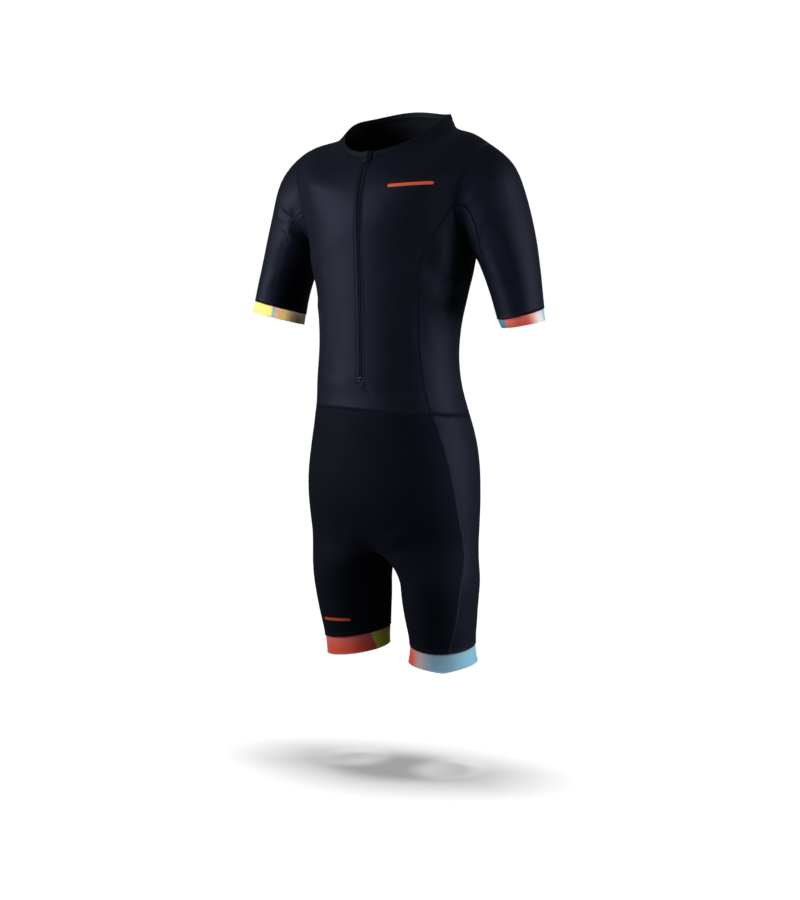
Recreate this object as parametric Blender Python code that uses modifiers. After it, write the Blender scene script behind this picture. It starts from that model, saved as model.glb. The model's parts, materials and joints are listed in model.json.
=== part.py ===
"""Triathlon suit, short sleeved, worn shape with nothing inside it.

Metres, +Z up, the garment's front faces -Y and its left side is +X. The origin is the middle of the neck
opening at the height of the neck points of the shoulders, where a wearer's shoulders would hold it.

The whole suit is first one smooth surface: rows of points run round the trunk, the legs and the sleeves,
and Subdivision Surface rounds them off. The surface is then cut at the seams into the pieces that a maker
sews, and each piece is given its wall.
"""

import math

import bmesh
import bpy
from mathutils import Vector

# ---------------------------------------------------------------------------
# Sizes, metres
# ---------------------------------------------------------------------------

CLOTH = 0.0014  # wall of the stretch cloth
BAND_CLOTH = 0.0016  # wall of the elastic cuff and leg bands
BAND_DROP = 0.0009  # the bands lie this far inside the black hems
BINDING_WALL = 0.0024  # folded neck binding
BINDING_HEIGHT = 0.0080
BINDING_UPRIGHT = 0.5  # how much it stands up from the slope of the cloth at the front and the back
BINDING_LIES_DOWN = (0.040, 0.080)  # from the middle: where it begins to lie down, and where it lies flat
# The binding's outline, as shares of its height and of half its wall
BINDING_OUTLINE = (
    (0.02, 0.80),
    (0.10, 1.00),
    (0.85, 1.00),
    (0.98, 0.55),
    (0.98, -0.55),
    (0.85, -1.00),
    (0.10, -1.00),
    (0.02, -0.80),
)
SEAM_GAP = 0.0003

# The neckline seam: its widest point on the shoulder seam, and its middle front and middle back
NECK_HALF_WIDTH = {1: 0.0965, -1: 0.0885}  # by side: 1 is the garment's left and -1 its right
NECK_POINT_Y = 0.0160
NECK_POINT_Z = {1: -0.0165, -1: -0.0220}
NECK_FRONT_Y = -0.0830
NECK_FRONT_Z = -0.0820
NECK_BACK_Y = 0.0800
NECK_BACK_Z = 0.0020
# The outer end of the shoulder seam, on the armhole
SHOULDER_X = 0.1700
SHOULDER_Y = 0.0080
SHOULDER_Z = {1: -0.0590, -1: -0.0535}
SHOULDER_BOW = {1: 0.0050, -1: -0.0005}  # how far the seam's middle rises over a straight line
NECKLINE_POINT = 46.0  # deg round the neckline from the middle to the point before the shoulder seam
NECKLINE_DIP = 1.25  # 1 is a flat neckline, more turns more sharply towards the middle
NECKLINE_BACK_DIP = {1: 3.2, -1: 1.85}

ZIP_SLOT = 0.0044  # width of the slit that the coil shows through
ZIP_CHAIN_WIDTH = 0.0036
ZIP_TAPE_WIDTH = 0.0120
ZIP_TAPE_WALL = 0.0010
ZIP_TAPE_BELOW = 0.0060  # the tapes run on this far under the cloth below the slit
ZIP_CHAIN_ABOVE = 0.0060  # the coil runs this far up between the binding's ends
ZIP_CHAIN_SINK = 0.0001  # the coil's face lies this far inside the cloth's face
ZIP_STOP_LENGTH = 0.0040
ZIP_STOP_PROUD = 0.0006
SLIDER_WIDTH = 0.0064
SLIDER_LENGTH = 0.0090
SLIDER_HEIGHT = 0.0015
SLIDER_BELOW_NECK = 0.0040  # from the neckline seam to the slider's top
GARAGE_WIDTH = 0.0150
GARAGE_LENGTH = 0.0210
GARAGE_WALL = 0.0011
GARAGE_LIFT = 0.0010  # over the binding, along the garage's edges
GARAGE_RISE = 0.0020  # more than that along its middle, over the slider
GARAGE_COLUMNS = 3  # on each half
GARAGE_ROWS = 5

# Rows of the trunk, waist seam upwards. The side panel lies between the two seam angles, which are counted
# from the middle front (0) to the middle back (180).
# height front, height side, half width, front y, side y, back y, front seam deg, back seam deg
TRUNK_ROWS = (
    (-0.4790, -0.4810, 0.1285, -0.1070, 0.0000, 0.0980, 52.0, 118.0),
    (-0.4350, -0.4370, 0.1215, -0.1065, -0.0060, 0.0870, 50.0, 118.0),
    (-0.3850, -0.3870, 0.1170, -0.1060, -0.0090, 0.0810, 48.0, 120.0),
    (-0.3320, -0.3360, 0.1200, -0.1075, -0.0050, 0.0890, 45.0, 124.0),
    (-0.2800, -0.2900, 0.1280, -0.1100, 0.0010, 0.0980, 42.5, 130.0),
    (-0.2320, -0.2550, 0.1370, -0.1120, 0.0050, 0.1030, 41.0, 138.0),
)
TRUNK_ROUNDNESS = 2.15  # 2 is an ellipse, more is squarer
ZIP_END_ROW = 1  # the trunk row at which the slit for the zip ends

# Rows of the chest and the back above the underarm. Each runs from the middle to the armhole.
# middle y, middle z, armhole x, armhole y, armhole z
CHEST_ROWS = (
    (-0.1140, -0.1860, 0.1400, -0.0560, -0.1560),
    (-0.1095, -0.1480, 0.1490, -0.0560, -0.1200),
    (-0.0980, -0.1120, 0.1590, -0.0370, -0.0840),
)
BACK_ROWS = (
    (0.1040, -0.1700, 0.1400, 0.0640, -0.1600),
    (0.1020, -0.1100, 0.1490, 0.0660, -0.1200),
    (0.0950, -0.0520, 0.1590, 0.0490, -0.0820),
)
ROW_STEPS = (0.0, 0.29, 0.55, 0.78, 1.0)  # places of the points along such a row
DEPTH_BOW = 2.6  # 1 is a straight row, more stays flat for longer before it turns to the armhole
HEIGHT_BOW = 1.6
# The bottom of the armhole, front to back: x, y, z
UNDERARM = (
    (0.1390, -0.0340, -0.1980),
    (0.1400, 0.0060, -0.2220),
    (0.1400, 0.0420, -0.2020),
)

# Rows of the seat below the waist seam, as TRUNK_ROWS.
SEAT_ROWS = (
    (-0.5330, -0.5340, 0.1395, -0.1070, 0.0050, 0.1120, 58.0, 116.0),
    (-0.5890, -0.5890, 0.1455, -0.1060, 0.0070, 0.1160, 64.0, 116.0),
    (-0.6440, -0.6440, 0.1472, -0.0980, 0.0090, 0.1150, 69.0, 117.0),
)
CROTCH_ROW = (-0.6900, -0.6980, 0.1462, -0.0760, 0.0120, 0.0980, 74.0, 118.0)
# The crotch between the legs, front to back: y, z
CROTCH_LINE = (
    (-0.0420, -0.7160),
    (0.0040, -0.7260),
    (0.0540, -0.7120),
)

# Rows of a leg. The angles count from the front (0) round the outside (90) to the back (180).
# height, middle x, middle y, half width, half depth, share of hem slope, front seam deg, back seam deg
LEG_ROWS = (
    (-0.7450, 0.0797, 0.0120, 0.0655, 0.0780, 0.15, 62.0, 122.0),
    (-0.7870, 0.0802, 0.0170, 0.0618, 0.0705, 0.45, 58.0, 122.0),
    (-0.8290, 0.0800, 0.0240, 0.0575, 0.0635, 0.80, 48.0, 122.0),
    (-0.8590, 0.0795, 0.0290, 0.0543, 0.0582, 1.00, 38.0, 122.0),
)
LEG_BAND_ROW = (-0.8900, 0.0790, 0.0310, 0.0575, 0.0610, 1.00, 34.0, 122.0)
LEG_BAND_SIZE = {1: 0.985, -1: 0.900}  # the right leg's band draws in, the left leg's stands open
# Slope of each hem: up towards the inside of the leg, and up towards the back
HEM_SLOPE = {1: (0.02, 0.18), -1: (0.18, 0.11)}
# The hips are tilted: below the chest the cloth drops towards the garment's left by this slope.
HIP_TILT = -0.065
TILT_STARTS = -0.300
TILT_IS_WHOLE = -0.480
SLEEVES_BEYOND = 0.15  # the sleeves, further out than this, hang from the shoulders and are not tilted
# The empty garment's sides hang a little to one side and back: height, how far to the garment's left
SWAY = (
    (-0.200, 0.0), (-0.250, 0.0018), (-0.310, 0.0018), (-0.360, 0.0), (-0.430, -0.0012), (-0.455, -0.0006),
    (-0.490, 0.0026), (-0.535, 0.0026), (-0.590, 0.0), (-0.640, -0.0015), (-0.700, -0.0020),
    (-0.745, 0.0), (-0.800, -0.0016), (-2.0, -0.0016),
)
SWAY_FROM = 0.020  # the zip stays in the middle: the sway begins this far from it
SWAY_WHOLE = 0.100  # and is whole from here
# The right shoulder is drawn in by this much, less towards the middle and down to the elbow
SHOULDER_IN = 0.0078
SHOULDER_IN_FROM = 0.100  # from the middle to where this begins
SHOULDER_IN_WHOLE = 0.150  # and to where it is whole
SHOULDER_IN_ENDS = (-0.140, -0.255)  # height down to which it is whole, and where it is nothing
LEG_FRONT_EDGE = -38.0  # deg, where the middle front of the trunk carries on down the leg
LEG_BACK_EDGE = 218.0

# Rows of a sleeve, from the shoulder down. The ring's angles count from the outside (0) round the front (90).
# middle x, middle y, middle z, tilt deg, half width, half depth, turn deg
SLEEVE_ROWS = (
    (0.1755, 0.0080, -0.1600, 67.0, 0.0780, 0.0600, 0.0),
    (0.1890, 0.0120, -0.1900, 57.0, 0.0660, 0.0575, 2.0),
    (0.2005, 0.0150, -0.2280, 44.0, 0.0540, 0.0550, 6.0),
    (0.2110, 0.0155, -0.2720, 29.0, 0.0450, 0.0510, 14.0),
    (0.2190, 0.0140, -0.3160, 14.0, 0.0405, 0.0475, 20.0),
)
CUFF_BAND_ROW = (0.2235, 0.0140, -0.3350, 14.0, 0.0400, 0.0470, 20.0)
SLEEVE_POINTS = 10
# Underarm panel of each sleeve: between these two places of the ring, the first for the front seam
UNDERARM_PANEL = (3, 7)
SLEEVE_TWIST = {1: 46.0, -1: 0.0}  # degrees that each empty sleeve has turned about itself
# How the end of each sleeve, and its band, hangs: lower by this, sloping down to the front and to the outside
# by these, and further out by this
SLEEVE_HANG = {1: (0.0125, 0.229, 0.114, 0.0035), -1: (-0.0015, -0.085, 0.0, 0.0025)}
BAND_HANG = {1: (0.0091, 0.164, 0.132, 0.0035), -1: (-0.0035, -0.085, 0.0, 0.0025)}
HANG_SHARES = (0.0, 0.0, 0.20, 0.60, 1.0, 1.0)  # how much of it each row has
# The size of each sleeve row on each side, as a share of its table's
SLEEVE_SIZES = {1: (1.0, 1.0, 1.0, 0.98, 0.95, 0.90), -1: (1.0, 1.0, 0.98, 0.95, 1.00, 1.03)}

# Largest folds. Each is a soft ridge (rise above 0) or trough (below 0) along a line through its middle.
# middle x, y, z, line x, y, z, half length, half width, rise
FOLDS = (
    (0.115, -0.070, -0.290, 0.50, 0.30, -0.80, 0.060, 0.020, 0.0020),
    (0.085, -0.095, -0.235, 0.80, 0.30, -0.45, 0.050, 0.020, -0.0018),
    (-0.100, -0.085, -0.265, 0.70, 0.00, 0.60, 0.055, 0.020, 0.0015),
    (0.000, -0.105, -0.462, 1.00, 0.00, 0.10, 0.050, 0.018, -0.0016),
    (0.060, 0.095, -0.400, 1.00, 0.10, 0.25, 0.080, 0.022, 0.0022),
    (-0.050, 0.095, -0.440, 1.00, 0.10, -0.20, 0.080, 0.022, 0.0018),
    (0.060, -0.080, -0.700, 0.75, 0.00, 0.60, 0.055, 0.020, 0.0022),
    (-0.060, -0.080, -0.705, 0.75, 0.00, -0.60, 0.055, 0.020, 0.0022),
    (0.060, 0.090, -0.735, 1.00, 0.00, 0.35, 0.060, 0.020, -0.0022),
    (-0.060, 0.090, -0.735, 1.00, 0.00, -0.35, 0.060, 0.020, -0.0022),
    (0.205, -0.040, -0.200, 0.40, 0.30, -0.80, 0.050, 0.018, 0.0018),
    (-0.180, -0.050, -0.175, 0.85, 0.00, 0.50, 0.040, 0.016, -0.0022),
    (-0.190, -0.050, -0.215, 0.85, 0.00, 0.35, 0.040, 0.016, 0.0016),
    (0.195, 0.060, -0.190, 0.85, 0.00, 0.50, 0.040, 0.018, -0.0020),
    (-0.195, 0.060, -0.190, 0.85, 0.00, -0.50, 0.040, 0.018, -0.0020),
)

# ---------------------------------------------------------------------------
# Finishes: colour, roughness, metallic
# ---------------------------------------------------------------------------

SHINY_BLACK = ((0.018, 0.020, 0.029, 1.0), 0.42, 0.0)
MATTE_BLACK = ((0.008, 0.010, 0.014, 1.0), 0.80, 0.0)
TRIM_BLACK = ((0.012, 0.013, 0.018, 1.0), 0.60, 0.0)
COIL_BLACK = ((0.020, 0.021, 0.024, 1.0), 0.38, 0.0)
METAL_BLACK = ((0.030, 0.030, 0.032, 1.0), 0.35, 0.80)
CUFF_ORANGE = ((0.80, 0.24, 0.10, 1.0), 0.62, 0.0)
CUFF_BLUE = ((0.23, 0.50, 0.70, 1.0), 0.62, 0.0)

PIECES = (
    "bodice_front",
    "bodice_side",
    "bodice_back",
    "sleeve",
    "sleeve_under",
    "cuff_band",
    "shorts_front",
    "shorts_side",
    "shorts_back",
    "leg_band",
)
ONE_PIECE = ("bodice_front", "bodice_back", "shorts_front")  # the others have a left and a right
BANDS = ("cuff_band", "leg_band")
FINISH_OF = {
    "bodice_front": SHINY_BLACK,
    "bodice_side": SHINY_BLACK,
    "bodice_back": SHINY_BLACK,
    "sleeve": SHINY_BLACK,
    "sleeve_under": SHINY_BLACK,
    "cuff_band": CUFF_ORANGE,
    "shorts_front": MATTE_BLACK,
    "shorts_side": SHINY_BLACK,
    "shorts_back": MATTE_BLACK,
    "leg_band": CUFF_BLUE,
}

FIT_ROUNDS = 3  # rounds of pushing the cage out until the rounded cloth has the tables' sizes
FIT_STEP = 0.6
ON_MIDDLE = 0.0004  # a point this near the middle plane lies on it
SHARP_CORNER = 1.8  # most that a wall's inner side is set back at a fold, in wall thicknesses


# ---------------------------------------------------------------------------
# The surface's points
# ---------------------------------------------------------------------------


def share_between(value, start, end):
    """How far a value is from the start to the end, from 0 to 1."""
    return min(max((value - start) / (end - start), 0.0), 1.0)


def sway(height):
    """How far the garment's sides hang to its left at a height."""
    for upper, lower in zip(SWAY, SWAY[1:]):
        if height > lower[0]:
            share = share_between(height, upper[0], lower[0])
            return upper[1] + (lower[1] - upper[1]) * share
    return 0.0


def as_hung(point):
    """A point where the hanging garment has it: with the tilt of the hips, its sway and its right shoulder."""
    x, z = point.x, point.z
    if x < 0.0:
        drawn_in = share_between(-x, SHOULDER_IN_FROM, SHOULDER_IN_WHOLE)
        drawn_in *= 1.0 - share_between(z, *SHOULDER_IN_ENDS)
        x += SHOULDER_IN * drawn_in
    if abs(point.x) > SLEEVES_BEYOND and point.z > TILT_IS_WHOLE:
        return Vector((x, point.y, z))
    z += HIP_TILT * point.x * share_between(point.z, TILT_STARTS, TILT_IS_WHOLE)
    return Vector((x + sway(point.z) * share_between(abs(x), SWAY_FROM, SWAY_WHOLE), point.y, z))


def squarish(angle, roundness):
    """Sine and cosine of an angle on a rounded square of that roundness."""
    sine, cosine = math.sin(angle), math.cos(angle)
    power = 2.0 / roundness
    return (
        math.copysign(abs(sine) ** power, sine),
        math.copysign(abs(cosine) ** power, cosine),
    )


def column_angles(start, front_seam, back_seam, end):
    """The angles of the points from the middle front to the middle back, even between the seams."""
    stops = ((start, front_seam), (front_seam, back_seam), (back_seam, end))
    angles = [first + (last - first) * step / 4 for first, last in stops for step in range(4)]
    return [math.radians(angle) for angle in angles + [end]]


def trunk_row(side, row):
    """One half of a ring round the trunk."""
    front_z, side_z, half_width, front_y, side_y, back_y, front_seam, back_seam = row
    points = []
    for angle in column_angles(0.0, front_seam, back_seam, 180.0):
        across, along = squarish(angle, TRUNK_ROUNDNESS)
        depth = (side_y - front_y) if along > 0 else (back_y - side_y)
        height = front_z + (side_z - front_z) * across * across
        points.append(Vector((side * half_width * across, side_y - depth * along, height)))
    return points


def half_row(side, row):
    """A row from the middle front or back to the armhole, bowed as a chest or a back is."""
    middle_y, middle_z, edge_x, edge_y, edge_z = row
    points = []
    for step in ROW_STEPS:
        y = middle_y + (edge_y - middle_y) * step**DEPTH_BOW
        z = middle_z + (edge_z - middle_z) * step**HEIGHT_BOW
        points.append(Vector((side * edge_x * step, y, z)))
    return points


def neck_row(side, middle_y, middle_z, dip):
    """The top row of the front or the back: the neckline, then the shoulder seam."""
    point_z = NECK_POINT_Z[side]
    points = []
    for degrees in (0.0, NECKLINE_POINT, 90.0):
        angle = math.radians(degrees)
        x = NECK_HALF_WIDTH[side] * math.sin(angle)
        y = NECK_POINT_Y + (middle_y - NECK_POINT_Y) * math.cos(angle)
        z = point_z + (middle_z - point_z) * math.cos(angle) ** dip
        points.append(Vector((side * x, y, z)))
    shoulder = Vector((side * SHOULDER_X, SHOULDER_Y, SHOULDER_Z[side]))
    middle = points[-1].lerp(shoulder, 0.5)
    middle.z += SHOULDER_BOW[side]
    points.append(middle)
    points.append(shoulder)
    return points


def leg_row(side, row, size):
    """A whole ring round one leg: the trunk's thirteen places, then three on the inside of the thigh."""
    height, middle_x, middle_y, half_width, half_depth, slope_share, front_seam, back_seam = row
    half_width, half_depth = half_width * size, half_depth * size
    rise_in, rise_back = (slope * slope_share for slope in HEM_SLOPE[side])
    angles = column_angles(LEG_FRONT_EDGE, front_seam, back_seam, LEG_BACK_EDGE)
    inner = (360.0 + LEG_FRONT_EDGE - LEG_BACK_EDGE) / 4
    angles += [math.radians(LEG_BACK_EDGE + inner * step) for step in (1, 2, 3)]
    points = []
    for angle in angles:
        out, back = half_width * math.sin(angle), -half_depth * math.cos(angle)
        z = height - rise_in * out + rise_back * back
        points.append(Vector((side * (middle_x + out), middle_y + back, z)))
    return points


def sleeve_row(side, row, twist, size, hang):
    """A ring round a sleeve, hanging as BAND_HANG says."""
    middle_x, middle_y, middle_z, tilt, half_width, half_depth, turn = row
    lower, slope_ahead, slope_out, further_out = hang
    half_width, half_depth = half_width * size, half_depth * size
    tilt, turn = math.radians(tilt), math.radians(turn)
    middle = Vector((middle_x + further_out, middle_y, middle_z))
    outwards = Vector((math.cos(tilt), 0.0, math.sin(tilt)))
    forwards = Vector((0.0, -1.0, 0.0))
    points = []
    for place in range(SLEEVE_POINTS):
        angle = 2 * math.pi * place / SLEEVE_POINTS + math.radians(twist)
        wide, deep = half_width * math.cos(angle + turn), half_depth * math.sin(angle + turn)
        across = wide * math.cos(turn) + deep * math.sin(turn)
        ahead = deep * math.cos(turn) - wide * math.sin(turn)
        point = middle + outwards * across + forwards * ahead
        point.z -= lower + slope_ahead * ahead + slope_out * (point.x - middle.x)
        points.append(Vector((side * point.x, point.y, point.z)))
    return points


class Cage:
    """The points and faces of the whole surface, before it is smoothed."""

    def __init__(self):
        self.mesh = bmesh.new()
        self.targets = []

    def add(self, point):
        """A point that the rounded cloth is to pass through."""
        point = as_hung(point)
        self.targets.append(point)
        return self.mesh.verts.new(point)

    def half_of(self, points, other, middle_places):
        """A row's points. Those on the middle of the garment come from the other half, once it is there."""
        row = []
        for place, point in enumerate(points):
            if place in middle_places and other:
                row.append(other[place])
            elif place in middle_places:
                row.append(self.add(Vector((0.0, point.y, point.z))))
            else:
                row.append(self.add(point))
        return row

    def strip(self, lower, upper, pieces, side):
        """Faces between two rows that run from the front to the back, over the garment's left or right."""
        for place, piece in enumerate(pieces):
            corners = [lower[place], lower[place + 1], upper[place + 1], upper[place]]
            face = self.mesh.faces.new(corners if side > 0 else corners[::-1])
            face.material_index = PIECES.index(piece)


def build_half(cage, side, other):
    """One half of the suit. `other` holds the rows of the half that was built first, or is empty."""
    rows = {}

    def keep(name, points, middle_places=(0, 12)):
        rows[name] = cage.half_of(points, other.get(name), middle_places)
        return rows[name]

    trunk = [keep(f"trunk{n}", trunk_row(side, row)) for n, row in enumerate(TRUNK_ROWS)]
    chest = [half_row(side, row) for row in CHEST_ROWS]
    shoulders = [half_row(side, row) for row in BACK_ROWS]
    underarm = [Vector((side * x, y, z)) for x, y, z in UNDERARM]
    bottom = keep("bottom", chest[0] + underarm + shoulders[0][::-1])
    front = [bottom[:5]] + [keep(f"chest{n}", row, (0,)) for n, row in enumerate(chest[1:])]
    back = [bottom[:7:-1]] + [keep(f"back{n}", row, (0,)) for n, row in enumerate(shoulders[1:])]
    front_neck = neck_row(side, NECK_FRONT_Y, NECK_FRONT_Z, NECKLINE_DIP)
    front.append(keep("neck_front", front_neck, (0,)))
    back_neck = neck_row(side, NECK_BACK_Y, NECK_BACK_Z, NECKLINE_BACK_DIP[side])
    back_neck = keep("neck_back", back_neck[:2], (0,))
    back.append(back_neck + front[-1][2:])

    pieces = ["bodice_front"] * 4 + ["bodice_side"] * 4 + ["bodice_back"] * 4
    for lower, upper in zip(trunk, trunk[1:] + [bottom]):
        cage.strip(lower, upper, pieces, side)
    for lower, upper in zip(front, front[1:]):
        cage.strip(lower, upper, pieces[:4], side)
    for lower, upper in zip(back, back[1:]):
        cage.strip(upper, lower, pieces[8:], side)

    armhole = front[3][4:] + [front[2][4], front[1][4]] + bottom[4:9] + [back[1][4], back[2][4]]
    build_sleeve(cage, side, armhole)

    seat = [keep(f"seat{n}", trunk_row(side, row)) for n, row in enumerate(SEAT_ROWS + (CROTCH_ROW,))]
    between_legs = [Vector((0.0, y, z)) for y, z in reversed(CROTCH_LINE)]
    between_legs = keep("between_legs", between_legs, (0, 1, 2))
    pieces = ["shorts_front"] * 4 + ["shorts_side"] * 4 + ["shorts_back"] * 4
    for upper, lower in zip([trunk[0]] + seat, seat):
        cage.strip(lower, upper, pieces, side)
    build_leg(cage, side, seat[-1] + between_legs, pieces + ["shorts_back"] * 2 + ["shorts_front"] * 2)
    return rows


def build_leg(cage, side, ring, pieces):
    """A leg below the ring at the crotch, with its band."""
    rings = [ring]
    for row in LEG_ROWS + (LEG_BAND_ROW,):
        size = LEG_BAND_SIZE[side] if row is LEG_BAND_ROW else 1.0
        rings.append([cage.add(point) for point in leg_row(side, row, size)])
    for upper, lower in zip(rings, rings[1:]):
        on_row = ["leg_band"] * len(ring) if lower is rings[-1] else pieces
        cage.strip(lower + lower[:1], upper + upper[:1], on_row, side)


def build_sleeve(cage, side, armhole):
    """A sleeve below the armhole's ring, with its band."""
    panel = range(*UNDERARM_PANEL)
    pieces = ["sleeve_under" if place in panel else "sleeve" for place in range(SLEEVE_POINTS)]
    rings = [armhole]
    for step, row in enumerate(SLEEVE_ROWS + (CUFF_BAND_ROW,)):
        twist = SLEEVE_TWIST[side] * step / len(SLEEVE_ROWS)
        whole_hang = (BAND_HANG if row is CUFF_BAND_ROW else SLEEVE_HANG)[side]
        hang = [value * HANG_SHARES[step] for value in whole_hang]
        ring = sleeve_row(side, row, twist, SLEEVE_SIZES[side][step], hang)
        rings.append([cage.add(point) for point in ring])
    for upper, lower in zip(rings, rings[1:]):
        on_row = ["cuff_band"] * SLEEVE_POINTS if lower is rings[-1] else pieces
        cage.strip(lower + lower[:1], upper + upper[:1], on_row, -side)


def evaluated_mesh(made):
    bpy.context.view_layer.update()
    graph = bpy.context.evaluated_depsgraph_get()
    return bpy.data.meshes.new_from_object(made.evaluated_get(graph), depsgraph=graph)


def smooth_surface(cage):
    """The rounded surface. The cage is pushed out until this passes through the tables' points."""
    mesh = bpy.data.meshes.new("suit_cage")
    cage.mesh.to_mesh(mesh)
    guide = bpy.data.objects.new("suit_cage", mesh)
    bpy.context.scene.collection.objects.link(guide)
    rounding = guide.modifiers.new("rounding", "SUBSURF")
    rounding.levels = 1
    rounding.render_levels = 1
    for _ in range(FIT_ROUNDS):
        rounded = evaluated_mesh(guide)
        for vertex, target in zip(mesh.vertices, cage.targets):
            vertex.co += (target - rounded.vertices[vertex.index].co) * FIT_STEP
        bpy.data.meshes.remove(rounded)
        mesh.update()
    rounded = evaluated_mesh(guide)
    surface = bmesh.new()
    surface.from_mesh(rounded)
    bpy.data.objects.remove(guide)
    bpy.data.meshes.remove(rounded)
    for vertex in surface.verts:
        if abs(vertex.co.x) < ON_MIDDLE:
            vertex.co.x = 0.0
    surface.normal_update()
    return surface


def fold_rise(point):
    """How far the largest folds lift the cloth at a point."""
    rise = 0.0
    for x, y, z, line_x, line_y, line_z, half_length, half_width, height in FOLDS:
        line = Vector((line_x, line_y, line_z)).normalized()
        offset = point - Vector((x, y, z))
        along = offset.dot(line)
        across = (offset - line * along).length
        rise += height * math.exp(-((along / half_length) ** 2) - (across / half_width) ** 2)
    return rise


def add_folds(surface):
    for vertex in surface.verts:
        on_middle = vertex.co.x == 0.0
        vertex.co += vertex.normal * fold_rise(vertex.co)
        if on_middle:
            vertex.co.x = 0.0
    surface.normal_update()


# ---------------------------------------------------------------------------
# Cloth pieces
# ---------------------------------------------------------------------------


def finish_material(name, finish):
    colour, roughness, metallic = finish
    material = bpy.data.materials.new(name)
    material.use_nodes = True
    shader = material.node_tree.nodes["Principled BSDF"]
    shader.inputs["Base Color"].default_value = colour
    shader.inputs["Roughness"].default_value = roughness
    shader.inputs["Metallic"].default_value = metallic
    return material


def add_object(name, shape, finish, collection):
    """A closed body as an object of its own, with its faces outwards."""
    for face in shape.faces:
        face.material_index = 0
    bmesh.ops.recalc_face_normals(shape, faces=shape.faces)
    mesh = bpy.data.meshes.new(name)
    shape.to_mesh(mesh)
    shape.free()
    mesh.materials.append(finish_material(name, finish))
    mesh.shade_smooth()
    mesh.set_sharp_from_angle(angle=math.radians(40.0))
    made = bpy.data.objects.new(name, mesh)
    collection.objects.link(made)
    return made


def middle_front(surface):
    """The front's points on the middle line, from the zip's end up to the neckline seam."""
    end_height = TRUNK_ROWS[ZIP_END_ROW][0] - ON_MIDDLE
    points = [v for v in surface.verts if v.co.x == 0.0 and v.co.y < 0.0 and v.co.z > end_height]
    return sorted(points, key=lambda vertex: vertex.co.z)


def cut_slit(surface):
    """Opens the front's middle line from the neck to the zip's end."""
    line = middle_front(surface)
    slit = [edge for edge in surface.edges if edge.verts[0] in line and edge.verts[1] in line]
    first = next(edge for edge in line[0].link_edges if edge in slit)
    share = ZIP_SLOT / 2 / first.calc_length()
    slit.append(bmesh.utils.edge_split(first, line[0], share)[0])
    bmesh.ops.split_edges(surface, edges=slit)


def on_slit(edge):
    """True for an edge on either side of the slit."""
    return edge.is_boundary and all(v.co.x == 0.0 and v.co.y < 0.0 for v in edge.verts)


def slit_sides(vertex):
    """How far each edge of the slit at a point lies to the side, once the slit is open."""
    beside = [edge.link_faces[0] for edge in vertex.link_edges if on_slit(edge)]
    return [math.copysign(ZIP_SLOT / 2, face.calc_center_median().x) for face in beside]


def outward(vertex):
    """The surface's normal, straight ahead along the slit."""
    normal = vertex.normal.copy()
    if any(on_slit(edge) for edge in vertex.link_edges):
        normal.x = 0.0
    return normal.normalized()


def edge_inset(vertex, piece):
    """How a point on a piece's edge moves into the piece, to leave half a seam's gap or half the slit."""
    push = Vector()
    seams = 0
    for edge in vertex.link_edges:
        inside = [face for face in edge.link_faces if face in piece]
        if len(inside) != 1 or on_slit(edge):
            continue
        middle = inside[0].calc_center_median()
        along = edge.verts[1].co - edge.verts[0].co
        inwards = inside[0].normal.cross(along).normalized()
        push += inwards if inwards.dot(middle - edge.verts[0].co) > 0 else -inwards
        seams += 1
    if seams > 1:
        push *= min(2.0 / push.length_squared, SHARP_CORNER)
    push *= SEAM_GAP / 2
    sides = slit_sides(vertex)
    if sides:
        push.x += sum(sides) / len(sides)
    return push


def cloth_wall(faces, thickness, dropped):
    """A piece's faces as a closed wall, whose inner side follows the whole surface's normals."""
    made = bmesh.new()
    inwards = made.verts.layers.float_vector.new("inwards")
    piece = set(faces)
    copies = {}
    for vertex in {vertex for face in faces for vertex in face.verts}:
        normal = outward(vertex)
        copy = made.verts.new(vertex.co + edge_inset(vertex, piece) - normal * dropped)
        copy[inwards] = -normal * thickness * min(vertex.calc_shell_factor(), SHARP_CORNER)
        copies[vertex] = copy
    for face in faces:
        made.faces.new([copies[vertex] for vertex in face.verts])
    result = bmesh.ops.extrude_face_region(made, geom=made.faces[:], use_keep_orig=True)
    for item in result["geom"]:
        if isinstance(item, bmesh.types.BMVert):
            item.co += item[inwards]
    return made


def add_cloth(surface, collection):
    """Each cut piece of cloth as a wall of its own."""
    groups = {}
    for face in surface.faces:
        piece = PIECES[face.material_index]
        name = piece
        if piece not in ONE_PIECE:
            name += "_left" if face.calc_center_median().x > 0 else "_right"
        groups.setdefault(name, []).append(face)
    for name, faces in groups.items():
        piece = PIECES[faces[0].material_index]
        if piece in BANDS:
            shape = cloth_wall(faces, BAND_CLOTH, BAND_DROP)
        else:
            shape = cloth_wall(faces, CLOTH, 0.0)
        add_object(name, shape, FINISH_OF[piece], collection)


# ---------------------------------------------------------------------------
# Neck binding and zip
# ---------------------------------------------------------------------------


def binding_frame(vertex):
    """The binding's foot on the neckline seam, the way it stands up, and its outward side."""
    normal = outward(vertex)
    seams = [edge for edge in vertex.link_edges if edge.is_boundary and not on_slit(edge)]
    along = Vector()
    for edge in seams:
        run = (edge.verts[1].co - edge.verts[0].co).normalized()
        along += run if run.dot(along) >= 0 else -run
    upwards = normal.cross(along).normalized()
    upwards *= math.copysign(1.0, upwards.z)
    upright = BINDING_UPRIGHT * (1.0 - share_between(abs(vertex.co.x), *BINDING_LIES_DOWN))
    upwards = (upwards + Vector((0.0, 0.0, upright))).normalized()
    foot = vertex.co.copy()
    if vertex.co.x == 0.0 and vertex.co.y < 0.0:
        upwards = Vector((0.0, upwards.y, upwards.z)).normalized()
        foot.x = sum(slit_sides(vertex))
    normal = (normal - upwards * normal.dot(upwards)).normalized()
    return foot - normal * (CLOTH / 2), upwards, normal


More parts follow.
